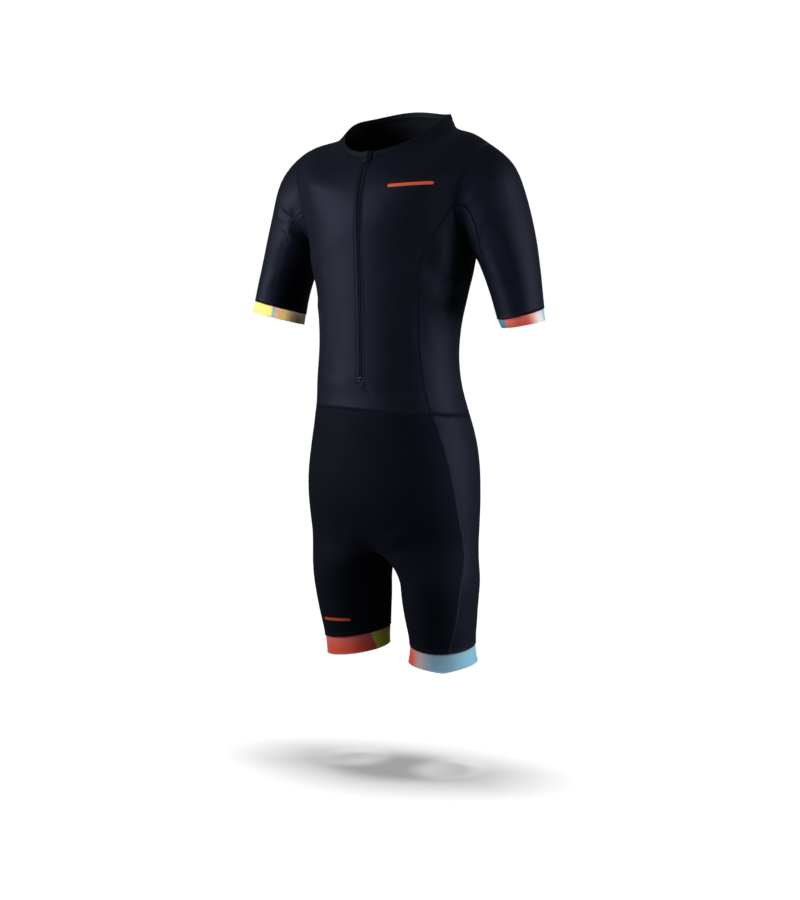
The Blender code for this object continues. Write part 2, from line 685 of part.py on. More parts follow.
def neckline_run(surface):
    """The neckline's points in order, from the slit's left side round the back to its right side."""
    lowest = NECK_FRONT_Z - BINDING_HEIGHT
    rims = [e for e in surface.edges if e.is_boundary and not on_slit(e)]
    seams = {e for e in rims if all(v.co.z > lowest for v in e.verts)}
    ends = [v for e in seams for v in e.verts if sum(other in seams for other in v.link_edges) == 1]
    start = max(ends, key=lambda v: v.link_faces[0].calc_center_median().x)
    run = [start]
    edge = next(e for e in start.link_edges if e in seams)
    while edge:
        seams.remove(edge)
        run.append(edge.other_vert(run[-1]))
        edge = next((e for e in run[-1].link_edges if e in seams), None)
    return run


def add_loft(name, sections, finish, collection):
    """A closed body through sections of like points."""
    made = bmesh.new()
    rings = [[made.verts.new(point) for point in section] for section in sections]
    for lower, upper in zip(rings, rings[1:]):
        for place in range(len(lower)):
            after = (place + 1) % len(lower)
            made.faces.new((lower[place], lower[after], upper[after], upper[place]))
    made.faces.new(rings[0])
    made.faces.new(rings[-1][::-1])
    return add_object(name, made, finish, collection)


def add_binding(surface, collection):
    """The folded strip that stands round the neckline, open at the zip."""
    outline = [(BINDING_HEIGHT * up, BINDING_WALL / 2 * out) for up, out in BINDING_OUTLINE]
    sections = []
    for vertex in neckline_run(surface):
        foot, upwards, normal = binding_frame(vertex)
        sections.append([foot + upwards * up + normal * out for up, out in outline])
    add_loft("neck_binding", sections, TRIM_BLACK, collection)


class ZipLine:
    """The course of the zip on the front's middle line."""

    def __init__(self, surface):
        self.points = []
        for vertex in middle_front(surface):
            beside = max((e.other_vert(vertex) for e in vertex.link_edges), key=lambda v: v.co.x)
            across = (beside.co - vertex.co) / beside.co.x
            normal = Vector((0.0, vertex.normal.y, vertex.normal.z)).normalized()
            self.points.append((vertex.co.copy(), normal, across))
        self.stops = [0.0]
        for before, after in zip(self.points, self.points[1:]):
            self.stops.append(self.stops[-1] + (after[0] - before[0]).length)
        self.length = self.stops[-1]
        _, self.neck_up, self.neck_out = binding_frame(middle_front(surface)[-1])

    def at(self, distance):
        """Point, outward side and sideways run at a distance up from the zip's end."""
        if distance > self.length:
            point, _, across = self.points[-1]
            return point + self.neck_up * (distance - self.length), self.neck_out, across
        step = max(n for n, stop in enumerate(self.stops[:-1]) if stop <= max(distance, 0.0))
        share = (distance - self.stops[step]) / (self.stops[step + 1] - self.stops[step])
        before, after = self.points[step : step + 2]
        point, normal, across = (low.lerp(high, share) for low, high in zip(before, after))
        return point, normal.normalized(), across

    def section(self, distance, outline):
        """Points at (sideways, outward) places of an outline, square to the zip."""
        point, normal, across = self.at(distance)
        places = []
        for sideways, out in outline:
            step = across * abs(sideways)
            step.x = sideways
            places.append(point + step + normal * out)
        return places

    def sections(self, start, end, outline):
        """Sections at both ends and at each point of the course between them."""
        between = [stop for stop in self.stops if start + ZIP_SLOT < stop < end - ZIP_SLOT]
        return [self.section(distance, outline) for distance in [start] + between + [end]]


def bar(left, right, bottom, top):
    """The outline of a flat bar, going round."""
    return ((left, bottom), (right, bottom), (right, top), (left, top))


def add_zip(line, collection):
    """The zip's tapes, coil, slider and bottom stop."""
    tape_face = -CLOTH - 2 * SEAM_GAP
    tape_back = tape_face - ZIP_TAPE_WALL
    tape_top = line.length - SEAM_GAP
    for name, side in (("zip_tape_left", 1), ("zip_tape_right", -1)):
        edges = sorted((side * SEAM_GAP / 2, side * ZIP_TAPE_WIDTH))
        outline = bar(*edges, tape_back, tape_face)
        add_loft(name, line.sections(-ZIP_TAPE_BELOW, tape_top, outline), TRIM_BLACK, collection)

    half = ZIP_CHAIN_WIDTH / 2
    stop_start = ZIP_SLOT / 2 + 2 * SEAM_GAP
    stop_end = stop_start + ZIP_STOP_LENGTH
    stop = bar(-half, half, -CLOTH, ZIP_STOP_PROUD)
    ends = [line.section(distance, stop) for distance in (stop_start, stop_end)]
    add_loft("zip_stop", ends, METAL_BLACK, collection)

    chain = (
        (-half, -CLOTH),
        (half, -CLOTH),
        (half, -CLOTH / 2),
        (half / 2, -ZIP_CHAIN_SINK),
        (-half / 2, -ZIP_CHAIN_SINK),
        (-half, -CLOTH / 2),
    )
    course = line.sections(stop_end + SEAM_GAP, line.length + ZIP_CHAIN_ABOVE, chain)
    add_loft("zip_chain", course, COIL_BLACK, collection)

    half = SLIDER_WIDTH / 2
    slider_top = line.length - SLIDER_BELOW_NECK
    slider = bar(-half, half, 2 * SEAM_GAP, 2 * SEAM_GAP + SLIDER_HEIGHT)
    ends = [line.section(distance, slider) for distance in (slider_top - SLIDER_LENGTH, slider_top)]
    made = add_loft("zip_slider", ends, METAL_BLACK, collection)
    rounding = made.modifiers.new("rounding", "BEVEL")
    rounding.width = SLIDER_HEIGHT / 4
    rounding.segments = 1


def add_garage(line, collection):
    """The small cover over the top of the zip, arched over the slider."""
    half = GARAGE_WIDTH / 2
    steps = [n / GARAGE_COLUMNS for n in range(-GARAGE_COLUMNS, GARAGE_COLUMNS + 1)]
    arch = [(half * step, GARAGE_LIFT + GARAGE_RISE * (1.0 - step * step)) for step in steps]
    outline = arch + [(x, rise + GARAGE_WALL) for x, rise in arch[::-1]]
    top = line.length + BINDING_HEIGHT
    rows = [top - GARAGE_LENGTH * n / GARAGE_ROWS for n in range(GARAGE_ROWS + 1)]
    add_loft("zip_garage", [line.section(row, outline) for row in rows], TRIM_BLACK, collection)


def main():
    for old in list(bpy.data.objects):
        bpy.data.objects.remove(old)
    collection = bpy.data.collections.new("triathlon_suit")
    bpy.context.scene.collection.children.link(collection)

    cage = Cage()
    rows = build_half(cage, 1, {})
    build_half(cage, -1, rows)
    surface = smooth_surface(cage)
    cage.mesh.free()
    add_folds(surface)
    line = ZipLine(surface)
    cut_slit(surface)
    bmesh.ops.triangulate(surface, faces=surface.faces, quad_method="SHORT_EDGE")
    surface.normal_update()
    add_cloth(surface, collection)
    add_binding(surface, collection)
    surface.free()
    add_zip(line, collection)
    add_garage(line, collection)


main()
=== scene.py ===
"""Finish of a short-sleeved triathlon suit in its worn shape: stretch cloth with creases and sewn seams,
a coil zip under a small cover, printed elastic bands at the cuffs and legs, and a plain studio.

Metres, +Z up. The front faces -Y and the garment's own left is +X. Each cloth piece is a finer shell on
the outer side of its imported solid, and the zip's pieces and the binding are made from theirs.
"""

import json
import math

import bmesh
import bpy
from bpy.props import FloatProperty, FloatVectorProperty, IntProperty, PointerProperty
from mathutils import Matrix, Vector, noise
from mathutils.bvhtree import BVHTree

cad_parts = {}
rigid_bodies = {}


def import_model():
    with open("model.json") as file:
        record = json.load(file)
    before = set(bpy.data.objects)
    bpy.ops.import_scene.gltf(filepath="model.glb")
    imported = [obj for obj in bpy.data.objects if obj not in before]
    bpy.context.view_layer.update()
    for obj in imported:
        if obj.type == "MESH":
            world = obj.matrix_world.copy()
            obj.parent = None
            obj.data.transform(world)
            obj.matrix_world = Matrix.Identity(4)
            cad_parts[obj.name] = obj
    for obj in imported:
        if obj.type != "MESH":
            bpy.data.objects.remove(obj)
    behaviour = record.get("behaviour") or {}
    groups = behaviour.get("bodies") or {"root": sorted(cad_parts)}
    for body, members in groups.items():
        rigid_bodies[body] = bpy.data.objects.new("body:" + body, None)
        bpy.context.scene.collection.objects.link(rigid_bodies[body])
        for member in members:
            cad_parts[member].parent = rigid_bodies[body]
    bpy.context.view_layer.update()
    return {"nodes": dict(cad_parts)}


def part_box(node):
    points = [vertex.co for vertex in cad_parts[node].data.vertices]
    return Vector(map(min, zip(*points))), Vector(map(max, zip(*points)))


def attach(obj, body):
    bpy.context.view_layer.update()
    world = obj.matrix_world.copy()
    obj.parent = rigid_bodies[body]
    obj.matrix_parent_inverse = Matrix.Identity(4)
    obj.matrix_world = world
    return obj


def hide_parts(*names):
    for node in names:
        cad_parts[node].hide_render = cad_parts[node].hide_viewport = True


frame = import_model()

bl_info = {
    "name": "Triathlon suit",
    "version": (1, 0, 0),
    "blender": (4, 5, 0),
    "location": "View3D > Sidebar > Suit",
    "description": "Builds the cloth, zip and bands of a triathlon suit and a plain studio round it",
    "category": "Add Mesh",
}

BODY = "root"

# The cloth pieces that are sewn to each other at flat seams, and their material
CLOTH_FINISH = {
    "bodice_front": "shiny",
    "bodice_side_left": "shiny",
    "bodice_side_right": "shiny",
    "bodice_back": "shiny",
    "sleeve_left": "shiny",
    "sleeve_right": "shiny",
    "sleeve_under_left": "shiny",
    "sleeve_under_right": "shiny",
    "shorts_front": "matte",
    "shorts_side_left": "shiny",
    "shorts_side_right": "shiny",
    "shorts_back_left": "matte",
    "shorts_back_right": "matte",
}
BANDS = ("cuff_band_left", "cuff_band_right", "leg_band_left", "leg_band_right")

# How the creases of the worn cloth run. Each is a soft ridge (rise above 0) or trough (below 0) through
# its middle: place x, y, z; run x, y, z; half length, half width, bow to the side, rise. All but the run
# are in mm.
CREASES = (
    # under the left arm, from the armhole down over the ribs
    (122, -54, -236, 0.15, 0.20, -0.97, 27, 12, 4, 3.4),
    (104, -82, -232, 0.20, 0.15, -0.97, 34, 10, 3, -2.0),
    (122, -42, -286, -0.45, -0.60, -0.65, 26, 5, 3, -2.4),
    (122, -40, -302, -0.40, -0.62, -0.66, 32, 8, 4, 3.0),
    (110, -50, -352, 0.10, 0.40, -0.90, 34, 9, -4, -1.4),
    # the same on the right, a little lower
    (-128, -58, -246, -0.50, 0.35, -0.82, 44, 12, 5, 2.2),
    (-116, -74, -276, -0.55, 0.25, -0.80, 46, 12, -5, -1.8),
    (-118, -48, -322, -0.80, 0.45, -0.25, 36, 9, 4, 1.5),
    # over the chest and the waist
    (70, -104, -205, 0.90, 0.25, -0.40, 60, 16, 8, -1.4),
    (-66, -106, -215, -0.90, 0.25, -0.35, 56, 15, -6, 1.1),
    (86, -88, -360, 0.30, 0.20, -0.95, 60, 14, 6, 1.4),
    (-84, -88, -366, -0.25, 0.20, -0.95, 60, 14, -6, 1.3),
    (14, -108, -448, 0.55, 0.00, -0.85, 16, 4, 2, -1.0),
    (62, -104, -446, 0.95, 0.15, 0.20, 34, 9, 4, -1.0),
    (-58, -104, -440, 0.95, -0.15, -0.20, 36, 9, -4, 0.9),
    # where the sleeves are set in, front
    (-172, -47, -161, 0.82, -0.05, -0.57, 19, 3.4, 1, -3.2),
    (-169, -47, -178, 0.90, 0.00, -0.43, 14, 3.4, 1, -2.6),
    (-171, -45, -198, 0.76, 0.34, -0.55, 10, 3.4, 1, -1.8),
    (-180, -47, -170, 0.85, 0.00, -0.52, 17, 4.0, 1, 1.6),
    (-172, -48, -150, 0.80, 0.00, -0.58, 22, 5.0, 2, 1.5),
    (-171, -46, -188, 0.85, 0.10, -0.50, 14, 4.0, 1, 1.0),
    (-167, -48, -182, 0.02, 0.10, -0.99, 26, 9, 1, 2.0),
    (172, -46, -150, -0.70, 0.10, -0.70, 30, 8, 3, 1.2),
    (212, -42, -250, 0.38, 0.05, -0.92, 66, 14, -5, -2.6),
    (206, -34, -262, 0.75, 0.10, -0.60, 30, 8, 4, 1.0),
    (-206, -36, -270, -0.75, 0.10, -0.60, 30, 8, 4, 1.0),
    # where the sleeves are set in, back
    (176, 58, -156, -0.75, 0.10, -0.60, 32, 7, 3, -1.8),
    (184, 60, -186, -0.80, 0.10, -0.50, 30, 7, -3, 1.6),
    (-176, 58, -156, 0.75, 0.10, -0.60, 32, 7, 3, -1.8),
    (-184, 60, -186, 0.80, 0.10, -0.50, 30, 7, -3, 1.6),
    # over the back and the waist behind
    (78, 96, -190, 0.55, 0.10, -0.80, 56, 14, 6, 1.6),
    (-78, 96, -194, -0.55, 0.10, -0.80, 56, 14, 6, 1.6),
    (52, 86, -372, 0.96, 0.10, 0.22, 56, 11, 6, 2.0),
    (-46, 84, -398, 0.96, -0.10, -0.20, 58, 11, -6, 1.9),
    (40, 88, -424, 0.98, 0.10, 0.12, 62, 10, 4, -1.7),
    (-62, 84, -352, 0.92, -0.20, -0.30, 44, 10, 5, -1.5),
    (0, 96, -452, 1.00, 0.00, 0.05, 50, 9, 4, 1.2),
    # from the crotch up over the hips and round the tops of the legs
    (58, -88, -676, 0.80, 0.10, 0.58, 46, 11, 5, 1.9),
    (-56, -88, -680, -0.80, 0.10, 0.58, 46, 11, -5, 1.7),
    (44, -74, -704, 0.86, 0.20, 0.42, 34, 8, 4, -1.5),
    (-44, -74, -706, -0.86, 0.20, 0.42, 34, 8, -4, -1.5),
    (60, 92, -716, 0.92, 0.10, 0.34, 50, 12, 5, -2.0),
    (-60, 92, -716, -0.92, 0.10, 0.34, 50, 12, -5, -2.0),
    (66, 78, -750, 0.95, 0.10, 0.20, 40, 10, 4, 1.4),
    (-66, 78, -752, -0.95, 0.10, 0.20, 40, 10, -4, 1.4),
    # down the legs
    (62, -52, -800, 0.20, 0.00, -0.98, 44, 13, 4, 1.1),
    (-64, -52, -806, -0.15, 0.00, -0.98, 44, 13, -4, 1.1),
    (118, 6, -700, 0.10, 0.60, -0.80, 50, 13, 4, 1.2),
    (-118, 6, -700, -0.10, 0.60, -0.80, 50, 13, 4, 1.2),
)

CREASE_REACH = 2.6  # a crease is felt this many half lengths from its middle,
CREASE_NEAR = 25.0  # and this many mm in front of and behind it
WAVER_ASIDE, WAVER_WIDTH = 3.0, 0.45  # how far its line wavers, in mm, and its width, as a share
GENTLE_SLOPE, STEEP_SLOPE = 0.25, -0.15  # one side of a crease is wider and the other narrower

# Colours of the bands' prints, and two of painted shade on them
YELLOW = (0.930, 0.850, 0.150)
PALE_BLUE = (0.250, 0.560, 0.640)
SKY = (0.200, 0.580, 0.790)
TEAL = (0.002, 0.250, 0.390)
CORAL = (0.900, 0.068, 0.025)
ROSE = (0.640, 0.280, 0.240)
PINK_GREY = (0.600, 0.440, 0.460)
STEEL = (0.230, 0.500, 0.680)
OLIVE = (0.230, 0.170, 0.020)
# Painted shade: coral darkened where the right leg band turns inwards, before its lime print
LIME = (0.420, 0.700, 0.010)
CORAL_PAINTED_SHADE = (0.500, 0.028, 0.024)
PEACH = (0.980, 0.500, 0.280)
AMBER = (0.980, 0.660, 0.160)
# Painted shade: olive darkened on the right cuff's side towards the body
OLIVE_PAINTED_SHADE = (0.060, 0.048, 0.004)
MIST = (0.880, 0.780, 0.780)
# The colours of each band round its tube, from the middle back (-180) past the middle front (0): its
# print, with painted shade at two stops. Two stops a degree apart are a printed edge; stops further apart
# fade into each other.
BAND_PRINTS = {
    "leg_band_left": (
        (-180, CORAL), (-60, CORAL), (-34, CORAL), (-16, PINK_GREY), (10, STEEL), (34, STEEL), (62, SKY),
        (110, SKY), (160, PALE_BLUE), (161, CORAL), (180, CORAL),
    ),
    # The stop at 56 is painted shade on the coral before the printed edge to lime
    "leg_band_right": (
        (-180, CORAL), (-100, ROSE), (-40, CORAL), (34, CORAL), (56, CORAL_PAINTED_SHADE), (57, LIME), (120, LIME),
        (150, OLIVE), (151, CORAL), (180, CORAL),
    ),
    "cuff_band_left": (
        (-180, SKY), (-120, TEAL), (-14, TEAL), (-13, CORAL), (36, CORAL), (58, MIST), (72, MIST),
        (90, SKY), (180, SKY),
    ),
    # The stop at 84 is painted shade on the olive of the side towards the body
    "cuff_band_right": (
        (-180, YELLOW), (13, YELLOW), (14, PALE_BLUE), (20, PALE_BLUE), (21, PEACH), (44, AMBER),
        (66, OLIVE), (84, OLIVE_PAINTED_SHADE), (130, OLIVE), (160, YELLOW), (180, YELLOW),
    ),
}
# The plain bar on the front of a cloth piece: its middle x and z, half its length and height, its rise
# for its length, and the strength of its colour
BARS = {
    "bodice_front": (0.0820, -0.1285, 0.0320, 0.0026, 0.05, 1.0),
    "shorts_front": (-0.0850, -0.8300, 0.0235, 0.0026, 0.03, 0.7),
}
BAR_EDGE = 0.0003  # width of a bar's soft edge
# How far a band's printed edges lean from its top to its bottom, as a share of the way round
BAND_LEANS = {
    "leg_band_right": 0.032,
    "leg_band_left": 0.010,
    "cuff_band_left": 0.010,
    "cuff_band_right": 0.006,
}
# A band whose lower edge hangs in a point: the side that it points to in degrees, and how far the edge
# is drawn up on both sides of it
BAND_POINTS = {"leg_band_left": (28.0, 0.0036)}
PRINT_TOP = (0.55, 0.42, 0.42)  # the prints fade a little towards this along their upper edge
PRINT_TOP_SHARE = 0.36  # how far they fade at the edge itself
PRINT_TOP_POWER = 2.2  # and how fast that ends below it

# Looks of the cloth
CLOTH_SHEEN = 0.02
# Painted shade in the seams: the near-black colour that the cloth darkens to there, and the mask of how
# much of it each point takes
SEAM_PAINTED_SHADE_COLOUR = (0.0008, 0.0009, 0.0014)
SEAM_SHADE = "seam_shade"  # on each point: 1 in a seam, 0 away from it
SHINY_GLOSS, MATTE_GLOSS = 0.14, 0.06
SHINY_TINT = (0.53, 0.63, 1.0, 1.0)  # what the cloth reflects is a little blue
MATTE_TINT = (0.52, 0.66, 1.0, 1.0)
TRIM_TINT = (0.62, 0.72, 1.0, 1.0)
MATTE_SHEEN_TINT = (0.62, 0.75, 1.0, 1.0)
SHINY_SHEEN_TINT = (0.70, 0.78, 1.0, 1.0)
WAVE_LENGTH = 2 / 6.2832  # from one ridge of a wave texture of scale 1 to the next, nearly
SHINY_KNIT, MATTE_KNIT = 0.0007, 0.0009  # from one row of the knit to the next
TRIM_RIBS, BAND_RIBS = 0.0008, 0.0011
THREAD_TWIST = WAVE_LENGTH / 900
# Beside the zip the cloth dips at the row of stitches and swells before it
STITCH_DIP_HALF = 0.0009
SWELL_MIDDLE, SWELL_HALF, SWELL_SHARE = 0.0045, 0.0022, 0.4

# How the solids' outer sides become one rounded surface
MERGE = 0.00002  # a solid's points nearer than this are one point
SEAM_WELD = 0.00065  # and across a seam
RIM_ANGLE = math.radians(60.0)  # the sides of a wall meet its rim at more than this
PUSH_ROUNDS, PUSH_STEP = 3, 0.7
# Rings of points along a piece's edges, the widest first, in seam widths
EDGE_RINGS = (1.8, 1.0, 0.45)
AWAY_FROM_EDGE = 1.0  # stands for a point that is on none of them
SEAM_GAP = 0.0003  # between sewn pieces
RIM_WALL = 0.45  # share of the wall's thickness at its very rim
HEMS_BEYOND = 0.03  # the hems lie further out than this
HEMS_BELOW = -0.25  # and lower than this
BAND_CREASE, CUFF_FLARE = 0.6, 0.3  # shares of the cloth's creases, and of the leg bands' flare
# Slow unevenness of all cloth: waves in a metre, height
UNEVEN = ((16.0, 0.0006), (42.0, 0.00018))

# One turn of the zip's coil, point by point: sideways in half widths, and outwards in COIL_SINK
COIL_TURN = (
    (0.10, -0.78), (0.95, -0.70), (1.00, -0.36), (0.86, -0.10), (0.10, -0.04), (-0.16, -0.30),
    (-0.10, -0.62),
)
COIL_SINK = 0.0012
COIL_SLANT = 0.0002  # how far a turn climbs from its middle to its end
COIL_SHIFT = 0.25  # each half's turns lie that share of the pitch above or below the middle
# The cord inside each half of the coil: its radius, its place in half widths, and how far out it lies
CORD_RADIUS, CORD_PLACE, CORD_SINK = 0.00030, 0.52, -0.00072
COURSE_SLACK = 1.06  # the zip's curved course is at most this much longer than it is high
COURSE_PITCH = 0.004  # between the points that the stitches beside the zip follow
HEM_ROW = 0.0062  # from a band's upper edge up to the hem's row of stitches
COVER_INSET = 0.0018  # from the zip cover's edge to its stitches
COVER_CORNER = 0.002  # how far before a corner these turn
# A stitch along its length: place in lengths, thickness in widths
STITCH_RINGS = ((-0.5, 0.35), (-0.38, 1.0), (0.0, 1.15), (0.38, 1.0), (0.5, 0.35))
STITCH_SIDES, STITCH_FLATTEN, STITCH_LIFT = 6, 0.7, 0.0001

# The studio
BACKDROP_GLOW = 1.1  # the backdrop's own light, where no lamp reaches it
FLOOR_GLOW = 0.33  # and that of the floor, which the light from above adds to
FLOOR_FRONT, FLOOR_BACK, FLOOR_HALF = -7.0, 2.2, 8.0  # from the suit's axis along the view, and aside
BACKDROP_CURVE, BACKDROP_TOP = 1.6, 6.5
PAPER = (0.86, 0.86, 0.86)


# ---- Sizes and colours that a user would change ----


def length_setting(name, description, default):
    return FloatProperty(name=name, description=description, default=default, unit="LENGTH")


def number_setting(name, description, default):
    return FloatProperty(name=name, description=description, default=default)


def angle_setting(name, description, degrees):
    return FloatProperty(
        name=name, description=description, default=math.radians(degrees), subtype="ANGLE")


def colour_setting(name, description, default):
    return FloatVectorProperty(name=name, description=description, default=default, subtype="COLOR")


class SuitCloth(bpy.types.PropertyGroup):
    """Sizes of the cloth and of how it is sewn."""

    wall: length_setting("Cloth", "Thickness of the stretch cloth", 0.0013)
    band_wall: length_setting("Band", "Thickness of the elastic bands", 0.0015)
    rounds: IntProperty(
        name="Rounding", description="Times the cloth's faces are halved", default=2, min=0, max=3)
    crease: FloatProperty(
        name="Creases", description="Depth of the creases, 1 is as worn", default=1.0, subtype="FACTOR")
    seam_width: length_setting("Seam width", "How far from a seam the cloth begins to dip", 0.0011)
    seam_depth: length_setting("Seam depth", "How far the cloth dips at a seam", 0.00022)
    hem_lip: length_setting("Hem lip", "How far the turned hems stand out", 0.0007)
    band_flare: length_setting("Band flare", "How far the leg bands open at their lower edge", 0.0010)
    stitch: length_setting("Stitch", "Length of one stitch", 0.0021)
    stitch_pitch: length_setting("Stitch pitch", "From one stitch to the next", 0.0027)
    thread: length_setting("Thread", "Width of the sewing thread", 0.00040)


class SuitZip(bpy.types.PropertyGroup):
    """Sizes of the zip."""

    pitch: length_setting("Coil pitch", "From one turn of the coil to the next", 0.0011)
    coil_wire: length_setting("Coil wire", "Thickness of the coil's wire", 0.00062)
    coil_width: length_setting("Coil width", "Width of the closed coil", 0.0034)
    topstitch: length_setting(
        "Topstitch", "From the zip's middle to the row of stitches beside it", 0.0074)
    topstitch_end: length_setting("Topstitch end", "How far below the zip the row turns across", 0.0085)


class SuitColours(bpy.types.PropertyGroup):
    """Colours of the suit."""

    shiny: colour_setting("Body", "Shiny stretch cloth", (0.0052, 0.0062, 0.0116))
    matte: colour_setting("Shorts", "Matte stretch cloth", (0.0034, 0.0044, 0.0074))
    inside: colour_setting("Inside", "Inner side of the cloth", (0.0050, 0.0058, 0.0080))
    trim: colour_setting("Trim", "Binding, tapes and thread", (0.0036, 0.0045, 0.0080))
    coil: colour_setting("Coil", "Zip coil", (0.0160, 0.0185, 0.0250))
    metal: colour_setting("Metal", "Enamelled slider and stop", (0.0200, 0.0200, 0.0220))
    bar: colour_setting("Bars", "Plain printed bars", (0.8600, 0.1300, 0.0500))


class SuitStudio(bpy.types.PropertyGroup):
    """Sizes and light of the studio."""

    floor_drop: length_setting("Floor", "From the lower hem down to the floor", 0.17)
    distance: length_setting("Distance", "From the camera to the suit's upright axis", 2.75)
    side: angle_setting("Side", "How far round the camera stands to the garment's left", 28.0)
    height: length_setting("Height", "Height of the camera", -0.386)
    pitch: angle_setting("Pitch", "How far the camera looks down", 3.4)
    turn: angle_setting("Turn", "How far the camera looks past the axis to its right", 0.27)
    lens: number_setting("Lens", "Focal length, mm", 67.2)
    key: number_setting("Key", "Power of the large soft light, W", 9.2)
    rim: number_setting("Rim", "Power of the soft light behind the left arm, W", 46.0)
    side_light: number_setting("Side lamp", "Power of the narrow light before the left arm, W", 4.0)
    fill: number_setting("Fill", "Power of the small front light, W", 3.0)
    cuff: number_setting("Cuff", "Power of the small light on the right cuff's shaded print, W", 18.0)
    sky: number_setting("Sky", "Strength of the even light all round", 0.05)
    sun: number_setting("Top", "Strength of the wide light from above", 2.6)


# ---- Helpers ----


def deselect_all():
    for chosen in bpy.context.selected_objects:
        chosen.select_set(False)


def new_object(name, shape, materials):
    """A smooth object from a bmesh, with its materials."""
    mesh = bpy.data.meshes.new(name)
    shape.to_mesh(mesh)
    shape.free()
    for material in materials:
        mesh.materials.append(material)
    made = bpy.data.objects.new(name, mesh)
    bpy.context.scene.collection.objects.link(made)
    mesh.shade_smooth()
    return made


def apply_modifier(made, kind, **settings):
    """Adds a modifier with those settings and applies it."""
    deselect_all()
    made.select_set(True)
    bpy.context.view_layer.objects.active = made
    modifier = made.modifiers.new(kind.lower(), kind)
    for name, value in settings.items():
        setattr(modifier, name, value)
    bpy.ops.object.modifier_apply(modifier=modifier.name)


def spaced(points, pitch):
    """Points and directions at an even pitch along a line of points."""
    stops = [0.0]
    for before, after in zip(points, points[1:]):
        stops.append(stops[-1] + (after - before).length)
    count = max(1, round(stops[-1] / pitch))
    step = 0
    found = []
    for number in range(count):
        distance = stops[-1] * (number + 0.5) / count
        while stops[step + 1] < distance:
            step += 1
        share = (distance - stops[step]) / (stops[step + 1] - stops[step])
        before, after = points[step], points[step + 1]
        found.append((before.lerp(after, share), (after - before).normalized()))
    return found


# ---- Materials ----


class Finish:
    """A material's node tree with short words for the nodes that it needs."""

    def __init__(self, name, colour, roughness, **sockets):
        self.material = bpy.data.materials.new(name)
        self.material.use_nodes = True
        self.tree = self.material.node_tree
        self.shader = self.tree.nodes["Principled BSDF"]
        self.set("Base Color", (*colour, 1.0))
        self.set("Roughness", roughness)
        for socket, value in sockets.items():
            self.set(socket.replace("_", " "), value)

    def set(self, socket, value):
        self.feed(self.shader.inputs[socket], value)

    def node(self, kind, **inputs):
        made = self.tree.nodes.new(kind)
        for socket, value in inputs.items():
            self.feed(made.inputs[socket.replace("_", " ")], value)
        return made

    def feed(self, socket, value):
        if isinstance(value, bpy.types.NodeSocket):
            self.tree.links.new(value, socket)
        else:
            socket.default_value = value

    def place(self, kind="Object"):
        return self.node("ShaderNodeTexCoord").outputs[kind]

    def math(self, operation, *values):
        made = self.node("ShaderNodeMath")
        made.operation = operation
        for socket, value in zip(made.inputs, values):
            self.feed(socket, value)
        return made.outputs[0]

    def noise(self, place, scale, detail=2.0):
        return self.node("ShaderNodeTexNoise", Vector=place, Scale=scale, Detail=detail).outputs["Fac"]

    def wave(self, place, pitch, direction="X", **inputs):
        """Even ridges across a direction of the place, a pitch apart."""
        made = self.node("ShaderNodeTexWave", Vector=place, Scale=WAVE_LENGTH / pitch, **inputs)
        made.bands_direction = direction
        return made.outputs["Fac"]

    def bell(self, value, middle, half_width):
        """1 where the value is in the middle, and less and less on both sides."""
        away = self.math("DIVIDE", self.math("SUBTRACT", value, middle), half_width)
        return self.math("EXPONENT", self.math("MULTIPLY", self.math("MULTIPLY", away, away), -1.0))

    def stretched(self, place, scale):
        return self.node("ShaderNodeMapping", Vector=place, Scale=scale).outputs[0]

    def ramp(self, factor, stops):
        """A colour ramp from (place, colour) stops."""
        made = self.node("ShaderNodeValToRGB", Fac=factor)
        elements = made.color_ramp.elements
        elements[0].position = stops[0][0]
        elements[-1].position = stops[-1][0]
        for place, _ in stops[1:-1]:
            elements.new(place)
        for element, (_, colour) in zip(elements, stops):
            element.color = (*colour, 1.0)
        return made.outputs["Color"]

    def mix(self, factor, first, second):
        made = self.node("ShaderNodeMix")
        made.data_type = "RGBA"
        self.feed(made.inputs[0], factor)
        self.feed(made.inputs[6], first)
        self.feed(made.inputs[7], second)
        return made.outputs[2]

    def bump(self, height, distance, strength=1.0, under=None):
        made = self.node("ShaderNodeBump", Height=height, Distance=distance, Strength=strength)
        if under:
            self.feed(made.inputs["Normal"], under)
        return made.outputs["Normal"]

    def knit(self, pitch, depth, strength):
        """Fine rows of a knit along the piece's own map, as a bump."""
        place = self.place("UV")
        wales = self.wave(place, pitch, Distortion=0.6, Detail=1.0, Detail_Scale=40.0)
        courses = self.math("MULTIPLY", self.wave(place, pitch / 1.2, "Y"), 0.5)
        return self.bump(self.math("ADD", wales, courses), depth, strength)


def shade_seams(made, colour, roughness, gloss, stitch_dip_shade=0.0):
    """Feeds in the cloth's colour, roughness and gloss, with painted shade in its seams and under
    stitches: darker, duller and with less gloss and sheen there.
    """
    seam = made.node("ShaderNodeAttribute")
    seam.attribute_name = SEAM_SHADE
    seam = made.math("MAXIMUM", seam.outputs["Fac"], stitch_dip_shade)
    made.set("Base Color", made.mix(seam, colour, (*SEAM_PAINTED_SHADE_COLOUR, 1.0)))
    made.set("Roughness", made.math("MULTIPLY_ADD", seam, 0.2, roughness))
    made.set("Specular IOR Level", made.math("MULTIPLY_ADD", seam, -gloss, gloss))
    made.set("Sheen Weight", made.math("MULTIPLY_ADD", seam, -CLOTH_SHEEN, CLOTH_SHEEN))


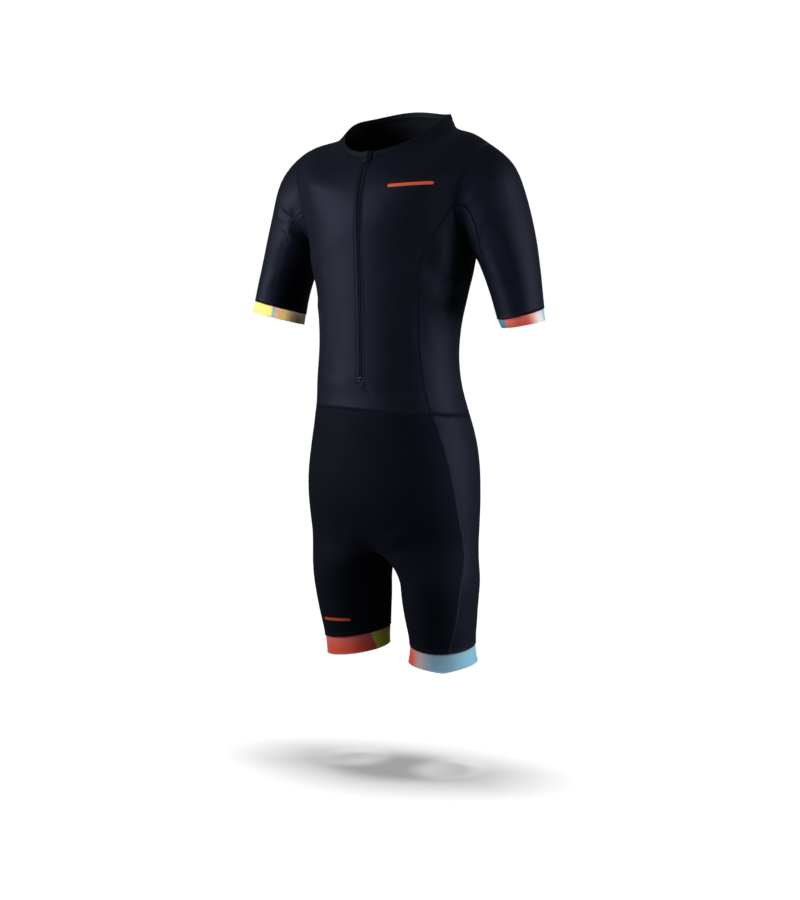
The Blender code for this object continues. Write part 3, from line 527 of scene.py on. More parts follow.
def shiny_cloth(colours, zip_sizes=None):
    """Smooth stretch cloth with a soft sheen, a fine knit and slow unevenness."""
    name = "suit_front_cloth" if zip_sizes else "suit_shiny_cloth"
    made = Finish(name, colours.shiny, 0.55, Sheen_Roughness=0.45)
    made.set("Sheen Tint", SHINY_SHEEN_TINT)
    made.set("Specular Tint", SHINY_TINT)
    place = made.place()
    cloudy = made.noise(place, 38.0, 3.0)
    tint = tuple(channel * 1.30 for channel in colours.shiny)
    rough = made.math("MULTIPLY_ADD", made.noise(place, 14.0, 2.0), 0.10, 0.50)
    puff, dip = zip_relief(made, zip_sizes) if zip_sizes else (0.0, 0.0)
    # Painted shade in the dip where the row of stitches beside the zip draws the cloth in
    stitch_dip_shade = made.math("MULTIPLY", dip, 0.7)
    colour = made.mix(cloudy, (*colours.shiny, 1.0), (*tint, 1.0))
    if zip_sizes:
        colour = printed_bar(made, "bodice_front", colour, colours)
    shade_seams(made, colour, rough, SHINY_GLOSS, stitch_dip_shade)
    normal = made.knit(SHINY_KNIT, 0.00005, 0.35)
    normal = made.bump(made.noise(place, 55.0, 2.0), 0.0010, 0.22, normal)
    if zip_sizes:
        normal = made.bump(made.math("SUBTRACT", puff, dip), 0.0004, 0.6, normal)
    made.set("Normal", normal)
    return made.material


def printed_bar(made, node, cloth_colour, colours):
    """The cloth's colour with a plain bar with rounded ends printed on its front."""
    middle_x, middle_z, half_length, half_height, rise, strength = BARS[node]
    split = made.node("ShaderNodeSeparateXYZ", Vector=made.place())
    along = made.math("SUBTRACT", split.outputs["X"], middle_x)
    up = made.math("SUBTRACT", split.outputs["Z"], middle_z)
    up = made.math("MULTIPLY_ADD", along, -rise, up)
    past = made.math("MAXIMUM", made.math("SUBTRACT", made.math("ABSOLUTE", along), half_length), 0.0)
    away = made.math("SQRT", made.math("MULTIPLY_ADD", past, past, made.math("MULTIPLY", up, up)))
    inside = made.math("DIVIDE", made.math("SUBTRACT", half_height, away), BAR_EDGE)
    inside = made.math("MINIMUM", made.math("MAXIMUM", inside, 0.0), 1.0)
    inside = made.math("MULTIPLY", inside, made.math("LESS_THAN", split.outputs["Y"], 0.0))
    bar = tuple(channel * strength for channel in colours.bar)
    return made.mix(inside, cloth_colour, (*bar, 1.0))


def zip_relief(made, zip_sizes):
    """How the cloth is puffed up between the slit and the row of stitches, and how these draw it in."""
    split = made.node("ShaderNodeSeparateXYZ", Vector=made.place())
    aside = made.math("ABSOLUTE", split.outputs["X"])
    dip = made.bell(aside, zip_sizes.topstitch, STITCH_DIP_HALF)
    puff = made.math("MULTIPLY", made.bell(aside, SWELL_MIDDLE, SWELL_HALF), SWELL_SHARE)
    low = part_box("zip_stop")[0].z - zip_sizes.topstitch_end
    above = made.math("GREATER_THAN", split.outputs["Z"], low)
    return made.math("MULTIPLY", puff, above), made.math("MULTIPLY", dip, above)


def matte_cloth(colours):
    """Denser stretch cloth with almost no shine."""
    made = Finish("suit_matte_cloth", colours.matte, 0.66, Sheen_Roughness=0.55)
    made.set("Sheen Tint", MATTE_SHEEN_TINT)
    made.set("Specular Tint", MATTE_TINT)
    place = made.place()
    tint = tuple(channel * 1.35 for channel in colours.matte)
    cloudy = made.noise(place, 60.0, 4.0)
    rough = made.math("MULTIPLY_ADD", made.noise(place, 20.0, 2.0), 0.10, 0.61)
    colour = made.mix(cloudy, (*colours.matte, 1.0), (*tint, 1.0))
    colour = printed_bar(made, "shorts_front", colour, colours)
    shade_seams(made, colour, rough, MATTE_GLOSS)
    normal = made.knit(MATTE_KNIT, 0.00007, 0.5)
    normal = made.bump(made.noise(place, 50.0, 2.0), 0.0009, 0.2, normal)
    made.set("Normal", normal)
    return made.material


def cloth_inside(colours):
    """The brushed inner side of the cloth."""
    made = Finish("suit_cloth_inside", colours.inside, 0.85, Sheen_Weight=0.02, Sheen_Roughness=0.6)
    made.set("Specular IOR Level", 0.1)
    made.set("Normal", made.bump(made.noise(made.place(), 1800.0, 2.0), 0.0002, 0.5))
    return made.material


def trim_cloth(colours, name="suit_trim"):
    """Binding, tape and cover: a close woven or ribbed trim."""
    made = Finish(name, colours.trim, 0.62, Sheen_Weight=0.02, Sheen_Roughness=0.5)
    made.set("Specular IOR Level", 0.16)
    made.set("Specular Tint", TRIM_TINT)
    made.set("Sheen Tint", MATTE_SHEEN_TINT)
    place = made.place()
    normal = made.bump(made.wave(place, TRIM_RIBS, "DIAGONAL", Distortion=1.0), 0.0001, 0.4)
    normal = made.bump(made.noise(place, 220.0, 2.0), 0.0004, 0.3, normal)
    made.set("Normal", normal)
    return made.material


def coil_plastic(colours):
    made = Finish("zip_coil_plastic", colours.coil, 0.45)
    made.set("Specular IOR Level", 0.2)
    made.set("Specular Tint", SHINY_TINT)
    rough = made.math("MULTIPLY_ADD", made.noise(made.place(), 900.0, 2.0), 0.12, 0.40)
    made.set("Roughness", rough)
    return made.material


def dark_metal(colours):
    made = Finish("zip_enamelled_metal", colours.metal, 0.35, Metallic=0.8)
    worn = made.noise(made.place(), 420.0, 4.0)
    made.set(
        "Base Color",
        made.ramp(worn, ((0.0, colours.metal), (0.72, colours.metal), (0.86, (0.12, 0.12, 0.12)))))
    made.set("Roughness", made.math("MULTIPLY_ADD", worn, 0.2, 0.25))
    return made.material


def sewing_thread(colours):
    made = Finish("suit_thread", tuple(channel * 1.6 for channel in colours.trim), 0.50, Sheen_Weight=0.2)
    made.set("Normal", made.bump(made.wave(made.place(), THREAD_TWIST, "DIAGONAL"), 0.0001, 0.5))
    return made.material


def band_print(name):
    """Elastic with soft printed colours round the tube, and fine ribs along it."""
    made = Finish(name + "_print", CORAL, 0.65, Sheen_Weight=0.05, Sheen_Roughness=0.5)
    made.set("Specular IOR Level", 0.20)
    split = made.node("ShaderNodeSeparateXYZ", Vector=made.place("UV"))
    around, down = split.outputs["X"], split.outputs["Y"]
    slanted = made.math("MULTIPLY_ADD", down, -BAND_LEANS[name], around)
    wavering = made.math("MULTIPLY_ADD", made.noise(made.place(), 30.0, 1.0), 0.010, -0.005)
    stops = [((degrees + 180.0) / 360.0, colour) for degrees, colour in BAND_PRINTS[name]]
    printed = made.ramp(made.math("ADD", slanted, wavering), stops)
    top = made.math("POWER", made.math("SUBTRACT", 1.0, down), PRINT_TOP_POWER)
    top = made.math("MULTIPLY", top, PRINT_TOP_SHARE)
    printed = made.mix(top, printed, (*PRINT_TOP, 1.0))
    specks = made.noise(made.stretched(made.place(), (900.0, 900.0, 1500.0)), 1.0, 1.0)
    printed = made.mix(made.math("MULTIPLY", specks, 0.07), printed, (0.9, 0.9, 0.9, 1.0))
    made.set("Base Color", printed)
    made.set("Normal", made.bump(made.wave(made.place(), BAND_RIBS, "Z"), 0.0002, 0.5))
    return made.material


# ---- The outer surface of the sewn cloth ----


def sides_of_wall(shape):
    """The faces of a cloth wall in groups that meet at its rims."""
    left = set(shape.faces)
    groups = []
    while left:
        queue = [left.pop()]
        group = list(queue)
        while queue:
            for edge in queue.pop().edges:
                if edge.calc_face_angle(math.pi) > RIM_ANGLE:
                    continue
                fresh = [face for face in edge.link_faces if face in left]
                left.difference_update(fresh)
                queue.extend(fresh)
                group.extend(fresh)
        groups.append(group)
    return groups


def outer_side(node):
    """The outer side of a cloth node, which is its largest."""
    shape = bmesh.new()
    shape.from_mesh(frame["nodes"][node].data)
    bmesh.ops.remove_doubles(shape, verts=shape.verts, dist=MERGE)
    largest = set(max(sides_of_wall(shape), key=lambda group: sum(f.calc_area() for f in group)))
    unwanted = [face for face in shape.faces if face not in largest]
    bmesh.ops.delete(shape, geom=unwanted, context="FACES")
    return shape


def rounded_surface(nodes, rounds):
    """The outer sides of nodes, welded at their seams and rounded off. Material numbers say the node."""
    whole = bmesh.new()
    for number, node in enumerate(nodes):
        side = outer_side(node)
        for face in side.faces:
            face.material_index = number
        mesh = bpy.data.meshes.new(node)
        side.to_mesh(mesh)
        side.free()
        whole.from_mesh(mesh)
        bpy.data.meshes.remove(mesh)
    bmesh.ops.remove_doubles(whole, verts=whole.verts, dist=SEAM_WELD)
    bmesh.ops.join_triangles(
        whole, faces=whole.faces, cmp_materials=True, angle_face_threshold=math.radians(50.0),
        angle_shape_threshold=math.radians(70.0))
    rough = new_object("surface", whole, [])
    push_out(rough)
    apply_modifier(rough, "SUBSURF", levels=rounds, render_levels=rounds)
    surface = bmesh.new()
    surface.from_mesh(rough.data)
    bpy.data.objects.remove(rough)
    surface.normal_update()
    return surface


def push_out(rough):
    """Moves a mesh's points out, until the surface that rounds it off passes through where they were."""
    aims = [vertex.co.copy() for vertex in rough.data.vertices]
    rounding = rough.modifiers.new("rounding", "SUBSURF")
    rounding.levels = 2
    for _ in range(PUSH_ROUNDS):
        bpy.context.view_layer.update()
        rounded = rough.evaluated_get(bpy.context.evaluated_depsgraph_get()).to_mesh()
        moves = [(aim - rounded.vertices[n].co) * PUSH_STEP for n, aim in enumerate(aims)]
        for vertex, move in zip(rough.data.vertices, moves):
            vertex.co += move
        rough.data.update()
    rough.modifiers.remove(rounding)


def crease_rise(point, outward):
    """How far the creases lift the cloth at a point."""
    rise = 0.0
    for number, crease in enumerate(CREASES):
        x, y, z, run_x, run_y, run_z, half_length, half_width, bow, height = crease
        offset = point * 1000.0 - Vector((x, y, z))
        if offset.length > CREASE_REACH * half_length or abs(offset.dot(outward)) > CREASE_NEAR:
            continue
        run = Vector((run_x, run_y, run_z)).normalized()
        along = offset.dot(run) / half_length
        waver = noise.noise(Vector((along * 1.3, number * 3.7, 0.0)))
        across = offset.dot(run.cross(outward)) - bow * (1.0 - along * along) - WAVER_ASIDE * waver
        slope = GENTLE_SLOPE if across > 0 else STEEP_SLOPE
        across /= half_width * (1.0 + WAVER_WIDTH * waver + slope)
        rise += height * math.exp(-(along**2) * 1.1 - across**2)
    return rise / 1000.0


def crease_surface(surface, depth):
    """Moves the surface out and in by its creases and by a slow unevenness."""
    moves = []
    for vertex in surface.verts:
        slow = sum(noise.noise(vertex.co * waves) * height for waves, height in UNEVEN)
        moves.append((crease_rise(vertex.co, vertex.normal) + slow) * depth)
    edge = {vertex for edge in surface.edges if edge.is_boundary for vertex in edge.verts}
    for vertex, move in zip(surface.verts, moves):
        vertex.co += vertex.normal * (move * (0.5 if vertex in edge else 1.0))
    surface.normal_update()


def on_hem(vertex):
    """True on a sleeve's or a leg's open edge, and not at the neck or beside the zip."""
    is_open = any(edge.is_boundary for edge in vertex.link_edges)
    return is_open and abs(vertex.co.x) > HEMS_BEYOND and vertex.co.z < HEMS_BELOW


def piece_of_surface(surface, number):
    """A copy of one piece's faces, whose points keep the whole surface's outward side and edge kind."""
    piece = bmesh.new()
    outward = piece.verts.layers.float_vector.new("outward")
    is_hem = piece.verts.layers.int.new("hem")
    copies = {}
    faces = [face for face in surface.faces if face.material_index == number]
    for face in faces:
        for vertex in face.verts:
            if vertex not in copies:
                copy = piece.verts.new(vertex.co)
                copy[outward] = vertex.normal
                copy[is_hem] = int(on_hem(vertex))
                copies[vertex] = copy
        piece.faces.new([copies[vertex] for vertex in face.verts])
    return piece


def ring_edges(piece, distances):
    """Adds rings of points along the piece's edges, the widest first, and marks each point's own."""
    ring = piece.verts.layers.float.new("ring")
    for vertex in piece.verts:
        vertex[ring] = AWAY_FROM_EDGE
    for distance in distances:
        made = bmesh.ops.inset_region(
            piece, faces=piece.faces[:], thickness=distance, use_boundary=True, use_even_offset=True)
        edge = {v for e in piece.edges if e.is_boundary for v in e.verts}
        for vertex in {vertex for face in made["faces"] for vertex in face.verts}:
            vertex[ring] = 0.0 if vertex in edge else distance
    return ring


def edge_dip(ring, is_hem, cloth):
    """How far inside the cloth's face a point on a ring lies."""
    if ring > cloth.seam_width * 1.01:
        return 0.0
    share = 1.0 - ring / cloth.seam_width
    if not is_hem:
        return cloth.seam_depth * share * share
    # A turned hem is tucked in at its rim, and its other rings stand out as a lip
    if share > 0.9:
        return cloth.seam_depth * 0.9
    return -cloth.hem_lip * (0.9 if share > 0.3 else 0.7)


def wall(piece, cloth, thickness):
    """Gives a piece with rings its rounded edges, its thickness and its inner side."""
    ring = ring_edges(piece, [cloth.seam_width * share for share in EDGE_RINGS])
    outward = piece.verts.layers.float_vector["outward"]
    is_hem = piece.verts.layers.int["hem"]
    gaps = {}
    for edge in piece.edges:
        first, second = edge.verts
        for vertex, other in ((first, second), (second, first)):
            if vertex[ring] == 0.0 and other[ring] > 0.0:
                gaps[vertex] = (other.co - vertex.co).normalized() * (SEAM_GAP / 2)
    shade = piece.verts.layers.float.new(SEAM_SHADE)
    for vertex in piece.verts:
        # How much painted seam shade a point takes: all of it at the edge, none from a seam width in
        vertex[shade] = min(1.0, max(0.0, 1.0 - vertex[ring] / cloth.seam_width) * 1.8)
        vertex.co += gaps.get(vertex, Vector())
        vertex.co -= vertex[outward] * edge_dip(vertex[ring], vertex[is_hem], cloth)
    grown = bmesh.ops.extrude_face_region(piece, geom=piece.faces[:], use_keep_orig=True)
    inner = [item for item in grown["geom"] if isinstance(item, bmesh.types.BMVert)]
    for vertex in inner:
        rim = RIM_WALL if vertex[ring] == 0.0 else 1.0
        vertex.co -= vertex[outward] * thickness * rim
    for item in grown["geom"]:
        if isinstance(item, bmesh.types.BMFace):
            item.material_index = 1
    bmesh.ops.recalc_face_normals(piece, faces=piece.faces)


def band_rim(name):
    """The upper edge of a band's outer side."""
    side = outer_side(name)
    loops = [[vertex.co.copy() for vertex in run] for run in edge_loops(side)]
    side.free()
    return max(loops, key=lambda run: sum(point.z for point in run) / len(run))


def tube_axis(name):
    """The axis of the tube that a piece is part of: a point and its upward direction."""
    if not name.startswith(("sleeve", "cuff", "leg_band")):
        return Vector(), Vector((0.0, 0.0, 1.0))
    side = "left" if name.endswith("left") else "right"
    rim = band_rim(("leg_band_" if name.startswith("leg") else "cuff_band_") + side)
    foot = sum(rim, Vector()) / len(rim)
    axis = sum(((a - foot).cross(b - foot) for a, b in zip(rim, rim[1:] + rim[:1])), Vector())
    return foot, axis.normalized() * math.copysign(1.0, axis.z)


def add_map(piece, name, whole_turns=False):
    """A map round the piece's tube. Along the cloth it is in metres; on a band it runs from 0 to 1."""
    foot, axis = tube_axis(name)
    front = Vector((0.0, -1.0, 0.0))
    side = axis.cross(front).normalized()
    front = side.cross(axis)
    layer = piece.loops.layers.uv.new("cloth_map")
    heights = [(vertex.co - foot).dot(axis) for vertex in piece.verts]
    low, high = min(heights), max(heights)
    reaches = [(v.co - foot - axis * (v.co - foot).dot(axis)).length for v in piece.verts]
    radius = sum(reaches) / len(reaches)
    for face in piece.faces:
        turns = []
        for loop in face.loops:
            offset = loop.vert.co - foot
            turns.append(math.atan2(offset.dot(side), offset.dot(front)) / (2 * math.pi))
        for loop, turn in zip(face.loops, turns):
            if turn - min(turns) > 0.5:
                turn -= 1.0
            height = (loop.vert.co - foot).dot(axis)
            if whole_turns:
                loop[layer].uv = (turn + 0.5, (high - height) / (high - low))
            else:
                loop[layer].uv = (turn * 2 * math.pi * radius, height)


# ---- Threads ----


def thread_shape(length, width):
    """One stitch: a short rod with rounded ends, along X, as rings of points."""
    turns = [2 * math.pi * n / STITCH_SIDES for n in range(STITCH_SIDES)]
    return [
        [
            Vector((
                length * along,
                width / 2 * share * math.cos(turn),
                width / 2 * share * math.sin(turn) * STITCH_FLATTEN))
            for turn in turns
        ]
        for along, share in STITCH_RINGS
    ]


def add_stitch(shape, rings, place, run, outward):
    """Lays one stitch at a place, along its run."""
    outward = (outward - run * outward.dot(run)).normalized()
    turn = Matrix((run, outward.cross(run), outward)).transposed()
    made = [[shape.verts.new(place + turn @ point) for point in ring] for ring in rings]
    for lower, upper in zip(made, made[1:]):
        for n in range(len(lower)):
            after = (n + 1) % len(lower)
            shape.faces.new((lower[n], lower[after], upper[after], upper[n]))
    shape.faces.new(made[0][::-1])
    shape.faces.new(made[-1])


def sew(shape, line, skin, cloth):
    """A row of stitches along a line of points, laid on the cloth."""
    rings = thread_shape(cloth.stitch, cloth.thread)
    for place, run in spaced(line, cloth.stitch_pitch):
        on_cloth, outward, _, _ = skin.find_nearest(place)
        add_stitch(shape, rings, on_cloth + outward * STITCH_LIFT, run, outward)


def edge_loops(piece):
    """The piece's open edge as runs of neighbouring points, in the same order each time."""
    left = dict.fromkeys(edge for edge in piece.edges if edge.is_boundary)
    loops = []
    while left:
        edge = next(iter(left))
        del left[edge]
        run = [edge.verts[0], edge.verts[1]]
        grows = True
        while grows:
            grows = next((e for e in run[-1].link_edges if e in left), None)
            if grows:
                del left[grows]
                run.append(grows.other_vert(run[-1]))
        loops.append(run)
    return loops


# ---- The zip's course ----


def face_skin(nodes):
    """A search tree over the outer faces of the cloth made for those nodes."""
    shape = bmesh.new()
    for node in nodes:
        shape.from_mesh(bpy.data.objects[node + "_cloth"].data)
    bmesh.ops.delete(
        shape, geom=[face for face in shape.faces if face.material_index == 1], context="FACES")
    # The order of a wall's faces differs from run to run, and the tree's choice between equally near ones
    # follows it
    ordered = sorted(shape.faces, key=lambda face: face.calc_center_median()[:])
    for number, face in enumerate(ordered):
        face.index = number
    shape.faces.sort()
    tree = BVHTree.FromBMesh(shape)
    shape.free()
    return tree


def chain_course(start, end, pitch):
    """Points and outward sides up the middle of the coil's face, between two heights."""
    tree = BVHTree.FromPolygons(
        [vertex.co for vertex in frame["nodes"]["zip_chain"].data.vertices],
        [polygon.vertices for polygon in frame["nodes"]["zip_chain"].data.polygons])
    count = max(2, round((end - start) / pitch * COURSE_SLACK))
    points = []
    for number in range(count + 1):
        height = start + (end - start) * number / count
        hit = tree.ray_cast(Vector((0.0, -0.5, height)), Vector((0.0, 1.0, 0.0)))[0]
        if hit:
            points.append(hit)
    course = []
    for point, run in spaced(points, pitch):
        course.append((point, run.cross(Vector((1.0, 0.0, 0.0))).normalized(), run))
    if course[0][1].y > 0:
        course = [(point, -outward, run) for point, outward, run in course]
    return course


def beside_course(course, aside, outward_by=0.0):
    """The course moved sideways and outward."""
    return [point + Vector((aside, 0.0, 0.0)) + outward * outward_by for point, outward, _ in course]


# ---- Operators ----


def refined_copy(node, name, materials, rounds=0, bevel=0.0):
    """A copy of a node with its triangles paired, its edges bevelled and its faces rounded."""
    shape = bmesh.new()
    shape.from_mesh(frame["nodes"][node].data)
    bmesh.ops.remove_doubles(shape, verts=shape.verts, dist=MERGE)
    for face in shape.faces:
        face.material_index = 0
    bmesh.ops.join_triangles(
        shape, faces=shape.faces, angle_face_threshold=math.radians(35.0),
        angle_shape_threshold=math.radians(60.0))
    made = new_object(name, shape, materials)
    if bevel:
        apply_modifier(
            made, "BEVEL", width=bevel, segments=2, limit_method="ANGLE",
            angle_limit=math.radians(40.0))
    if rounds:
        if not bevel:
            push_out(made)
        apply_modifier(made, "SUBSURF", levels=rounds, render_levels=rounds)
    made.data.shade_smooth()
    return made


def place_piece(made, node):
    """The piece stands for its node, which it hides, and is attached to the suit's body."""
    if node:
        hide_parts(node)
    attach(made, BODY)
    return made


class SUIT_OT_cloth(bpy.types.Operator):
    """Makes the sewn cloth pieces: their creases, rolled seams and hems, and inner sides"""

    bl_idname = "suit.cloth"
    bl_label = "Cloth pieces"

    def execute(self, context):
        settings = context.scene
        cloth, colours = settings.suit_cloth, settings.suit_colours
        finishes = {
            "shiny": shiny_cloth(colours),
            "front": shiny_cloth(colours, settings.suit_zip),
            "matte": matte_cloth(colours),
        }
        inside = cloth_inside(colours)
        nodes = list(CLOTH_FINISH)
        surface = rounded_surface(nodes, cloth.rounds)
        crease_surface(surface, cloth.crease)
        for number, node in enumerate(nodes):
            piece = piece_of_surface(surface, number)
            wall(piece, cloth, cloth.wall)
            add_map(piece, node)
            kind = CLOTH_FINISH[node]
            finish = finishes["front" if node == "bodice_front" else kind]
            made = new_object(node + "_cloth", piece, [finish, inside])
            place_piece(made, node)
        surface.free()
        return {"FINISHED"}


class SUIT_OT_bands(bpy.types.Operator):
    """Makes the printed elastic bands at the cuffs and the legs"""

    bl_idname = "suit.bands"
    bl_label = "Elastic bands"

    def execute(self, context):
        cloth = context.scene.suit_cloth
        inside = bpy.data.materials["suit_cloth_inside"]
        for node in BANDS:
            surface = rounded_surface([node], cloth.rounds)
            crease_surface(surface, cloth.crease * BAND_CREASE)
            foot, axis = tube_axis(node)
            low = min((vertex.co - foot).dot(axis) for vertex in surface.verts)
            high = max((vertex.co - foot).dot(axis) for vertex in surface.verts)
            flare = cloth.band_flare * (1.0 if node.startswith("leg") else CUFF_FLARE)
            towards, drawn_up = BAND_POINTS.get(node, (0.0, 0.0))
            for vertex in surface.verts:
                offset = vertex.co - foot
                down = (high - offset.dot(axis)) / (high - low)
                aside = math.atan2(offset.x, -offset.y) - math.radians(towards)
                beside_point = abs(math.sin(2.0 * aside)) if abs(aside) < math.pi / 2 else 0.0
                vertex.co += vertex.normal * flare * down**2 + axis * (drawn_up * down * beside_point)
            piece = piece_of_surface(surface, 0)
            surface.free()
            wall(piece, cloth, cloth.band_wall)
            add_map(piece, node, whole_turns=True)
            made = new_object(node + "_elastic", piece, [band_print(node), inside])
            place_piece(made, node)
        return {"FINISHED"}


class SUIT_OT_binding(bpy.types.Operator):
    """Makes the binding round the neck, and the cover at the zip's top with its row of stitches"""

    bl_idname = "suit.binding"
    bl_label = "Neck binding and zip cover"

    def execute(self, context):
        cloth, colours = context.scene.suit_cloth, context.scene.suit_colours
        trim = trim_cloth(colours)
        thread = sewing_thread(colours)
        made = refined_copy("neck_binding", "neck_binding_strip", [trim], rounds=2)
        place_piece(made, "neck_binding")
        cover = refined_copy("zip_garage", "zip_cover", [trim], rounds=2, bevel=0.0004)
        place_piece(cover, "zip_garage")
        low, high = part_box("zip_garage")
        tree = BVHTree.FromObject(cover, bpy.context.evaluated_depsgraph_get())
        edge = []
        left, right = low.x + COVER_INSET, high.x - COVER_INSET
        foot, top = low.z + COVER_INSET, high.z - COVER_INSET
        for x, z in (
            (left, top), (left, foot + COVER_CORNER), (left + COVER_CORNER, foot),
            (right - COVER_CORNER, foot), (right, foot + COVER_CORNER), (right, top),
        ):
            hit = tree.ray_cast(Vector((x, -0.5, z)), Vector((0.0, 1.0, 0.0)))[0]
            if hit:
                edge.append(hit)
        stitches = bmesh.new()
        sew(stitches, edge, tree, cloth)
        row = new_object("zip_cover_stitches", stitches, [thread])
        place_piece(row, None)
        return {"FINISHED"}


class SUIT_OT_zip(bpy.types.Operator):
    """Makes the zip: two rows of coil on their woven strip, tapes, slider and bottom stop"""

    bl_idname = "suit.zip"
    bl_label = "Coil zip"

    def execute(self, context):
        sizes, colours = context.scene.suit_zip, context.scene.suit_colours
        coil = coil_plastic(colours)
        woven = trim_cloth(colours, "zip_tape_weave")
        metal = dark_metal(colours)
        low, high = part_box("zip_chain")
        course = chain_course(low.z, high.z, sizes.pitch)
        shape = bmesh.new()
        half = sizes.coil_width / 2
        wire = sizes.coil_wire / 2
        for side, shift in ((1.0, COIL_SHIFT), (-1.0, -COIL_SHIFT)):
            for point, outward, run in course:
                middle = point + run * (shift * sizes.pitch)
                centres = []
                for number, (aside, sink) in enumerate(COIL_TURN):
                    sideways = Vector((side * aside * half, 0.0, 0.0))
                    inwards = outward * (sink * COIL_SINK - wire * 0.6)
                    slant = run * (COIL_SLANT * (number - 3) / 3)
                    centres.append(middle + sideways + inwards + slant)
                add_wire(shape, centres, run, wire, 4)
        made = new_object("zip_coil", shape, [coil])
        place_piece(made, "zip_chain")
        cords = bmesh.new()
        for side in (-1.0, 1.0):
            line = beside_course(course[::6] + [course[-1]], side * half * CORD_PLACE, CORD_SINK)
            add_wire(cords, line, Vector((1.0, 0.0, 0.0)), CORD_RADIUS, 6)
        place_piece(new_object("zip_coil_cords", cords, [woven]), None)
        for node in ("zip_tape_left", "zip_tape_right"):
            tape = refined_copy(node, node + "_weave", [woven], bevel=0.0002)
            place_piece(tape, node)
        slider = refined_copy("zip_slider", "zip_slider_body", [metal], bevel=0.0005)
        place_piece(slider, "zip_slider")
        stop = refined_copy("zip_stop", "zip_bottom_stop", [metal], bevel=0.0003)
        place_piece(stop, "zip_stop")
        return {"FINISHED"}


def add_wire(shape, centres, sideways, radius, sides):
    """A round wire along points, as a closed mesh."""
    rings = []
    for number, centre in enumerate(centres):
        before = centres[max(number - 1, 0)]
        after = centres[min(number + 1, len(centres) - 1)]
        run = (after - before).normalized()
        across = (sideways - run * sideways.dot(run)).normalized()
        up = run.cross(across)
        rings.append([
            shape.verts.new(
                centre + (across * math.cos(2 * math.pi * n / sides)
                          + up * math.sin(2 * math.pi * n / sides)) * radius)
            for n in range(sides)
        ])
    for lower, upper in zip(rings, rings[1:]):
        for n in range(sides):
            after = (n + 1) % sides
            shape.faces.new((lower[n], lower[after], upper[after], upper[n]))
    shape.faces.new(rings[0][::-1])
    shape.faces.new(rings[-1])


class SUIT_OT_stitching(bpy.types.Operator):
    """Sews the rows of stitches beside the zip, across its end and round the hems"""

    bl_idname = "suit.stitching"
    bl_label = "Rows of stitches"

    def execute(self, context):
        cloth, sizes = context.scene.suit_cloth, context.scene.suit_zip
        thread = bpy.data.materials["suit_thread"]
        skin = face_skin(["bodice_front"])
        low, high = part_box("zip_chain")
        stop_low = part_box("zip_stop")[0].z
        course = chain_course(low.z, high.z, COURSE_PITCH)
        rows = bmesh.new()
        aside, end = sizes.topstitch, stop_low - sizes.topstitch_end
        left = beside_course(course, aside)[::-1]
        right = beside_course(course, -aside)
        front = left[-1].y
        corner = [(aside, end + 0.004), (aside - 0.002, end + 0.0012)]
        ends = corner + [(0.0, end)] + [(-x, z) for x, z in reversed(corner)]
        turn = [Vector((x, front, z)) for x, z in ends]
        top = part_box("neck_binding")[0].z
        line = [p for p in left + turn + right if p.z < top - 0.002]
        sew(rows, line, skin, cloth)
        tack = [
            Vector(((-1) ** n * 0.0036 * (1 - 0.1 * (n % 3)), front, stop_low - 0.0012 - n * 0.00035))
            for n in range(7)
        ]
        sew(rows, tack, skin, cloth)
        place_piece(new_object("zip_topstitch", rows, [thread]), None)
        hems = bmesh.new()
        for band, cloths in (
            ("cuff_band_left", ["sleeve_left", "sleeve_under_left"]),
            ("cuff_band_right", ["sleeve_right", "sleeve_under_right"]),
            ("leg_band_left", ["shorts_front", "shorts_side_left", "shorts_back_left"]),
            ("leg_band_right", ["shorts_front", "shorts_side_right", "shorts_back_right"]),
        ):
            hem_skin = face_skin(cloths)
            foot, axis = tube_axis(band)
            rim = band_rim(band)
            line = [point + axis * HEM_ROW for point in rim]
            sew(hems, line + [line[0]], hem_skin, cloth)
        place_piece(new_object("hem_stitches", hems, [thread]), None)
        return {"FINISHED"}


class SUIT_OT_stage(bpy.types.Operator):
    """Sets the floor and backdrop, the soft lights and the camera"""

    bl_idname = "suit.stage"
    bl_label = "Studio"

    def execute(self, context):
        studio = context.scene.suit_studio
        add_lights(studio, add_floor(studio))
        add_camera(studio)
        context.scene.view_settings.view_transform = "Standard"
        return {"FINISHED"}


def from_side(degrees, distance, height):
    """A place round the suit: 0 is in front of it and 90 at its own left."""
    turn = math.radians(degrees)
    return Vector((math.sin(turn) * distance, -math.cos(turn) * distance, height))


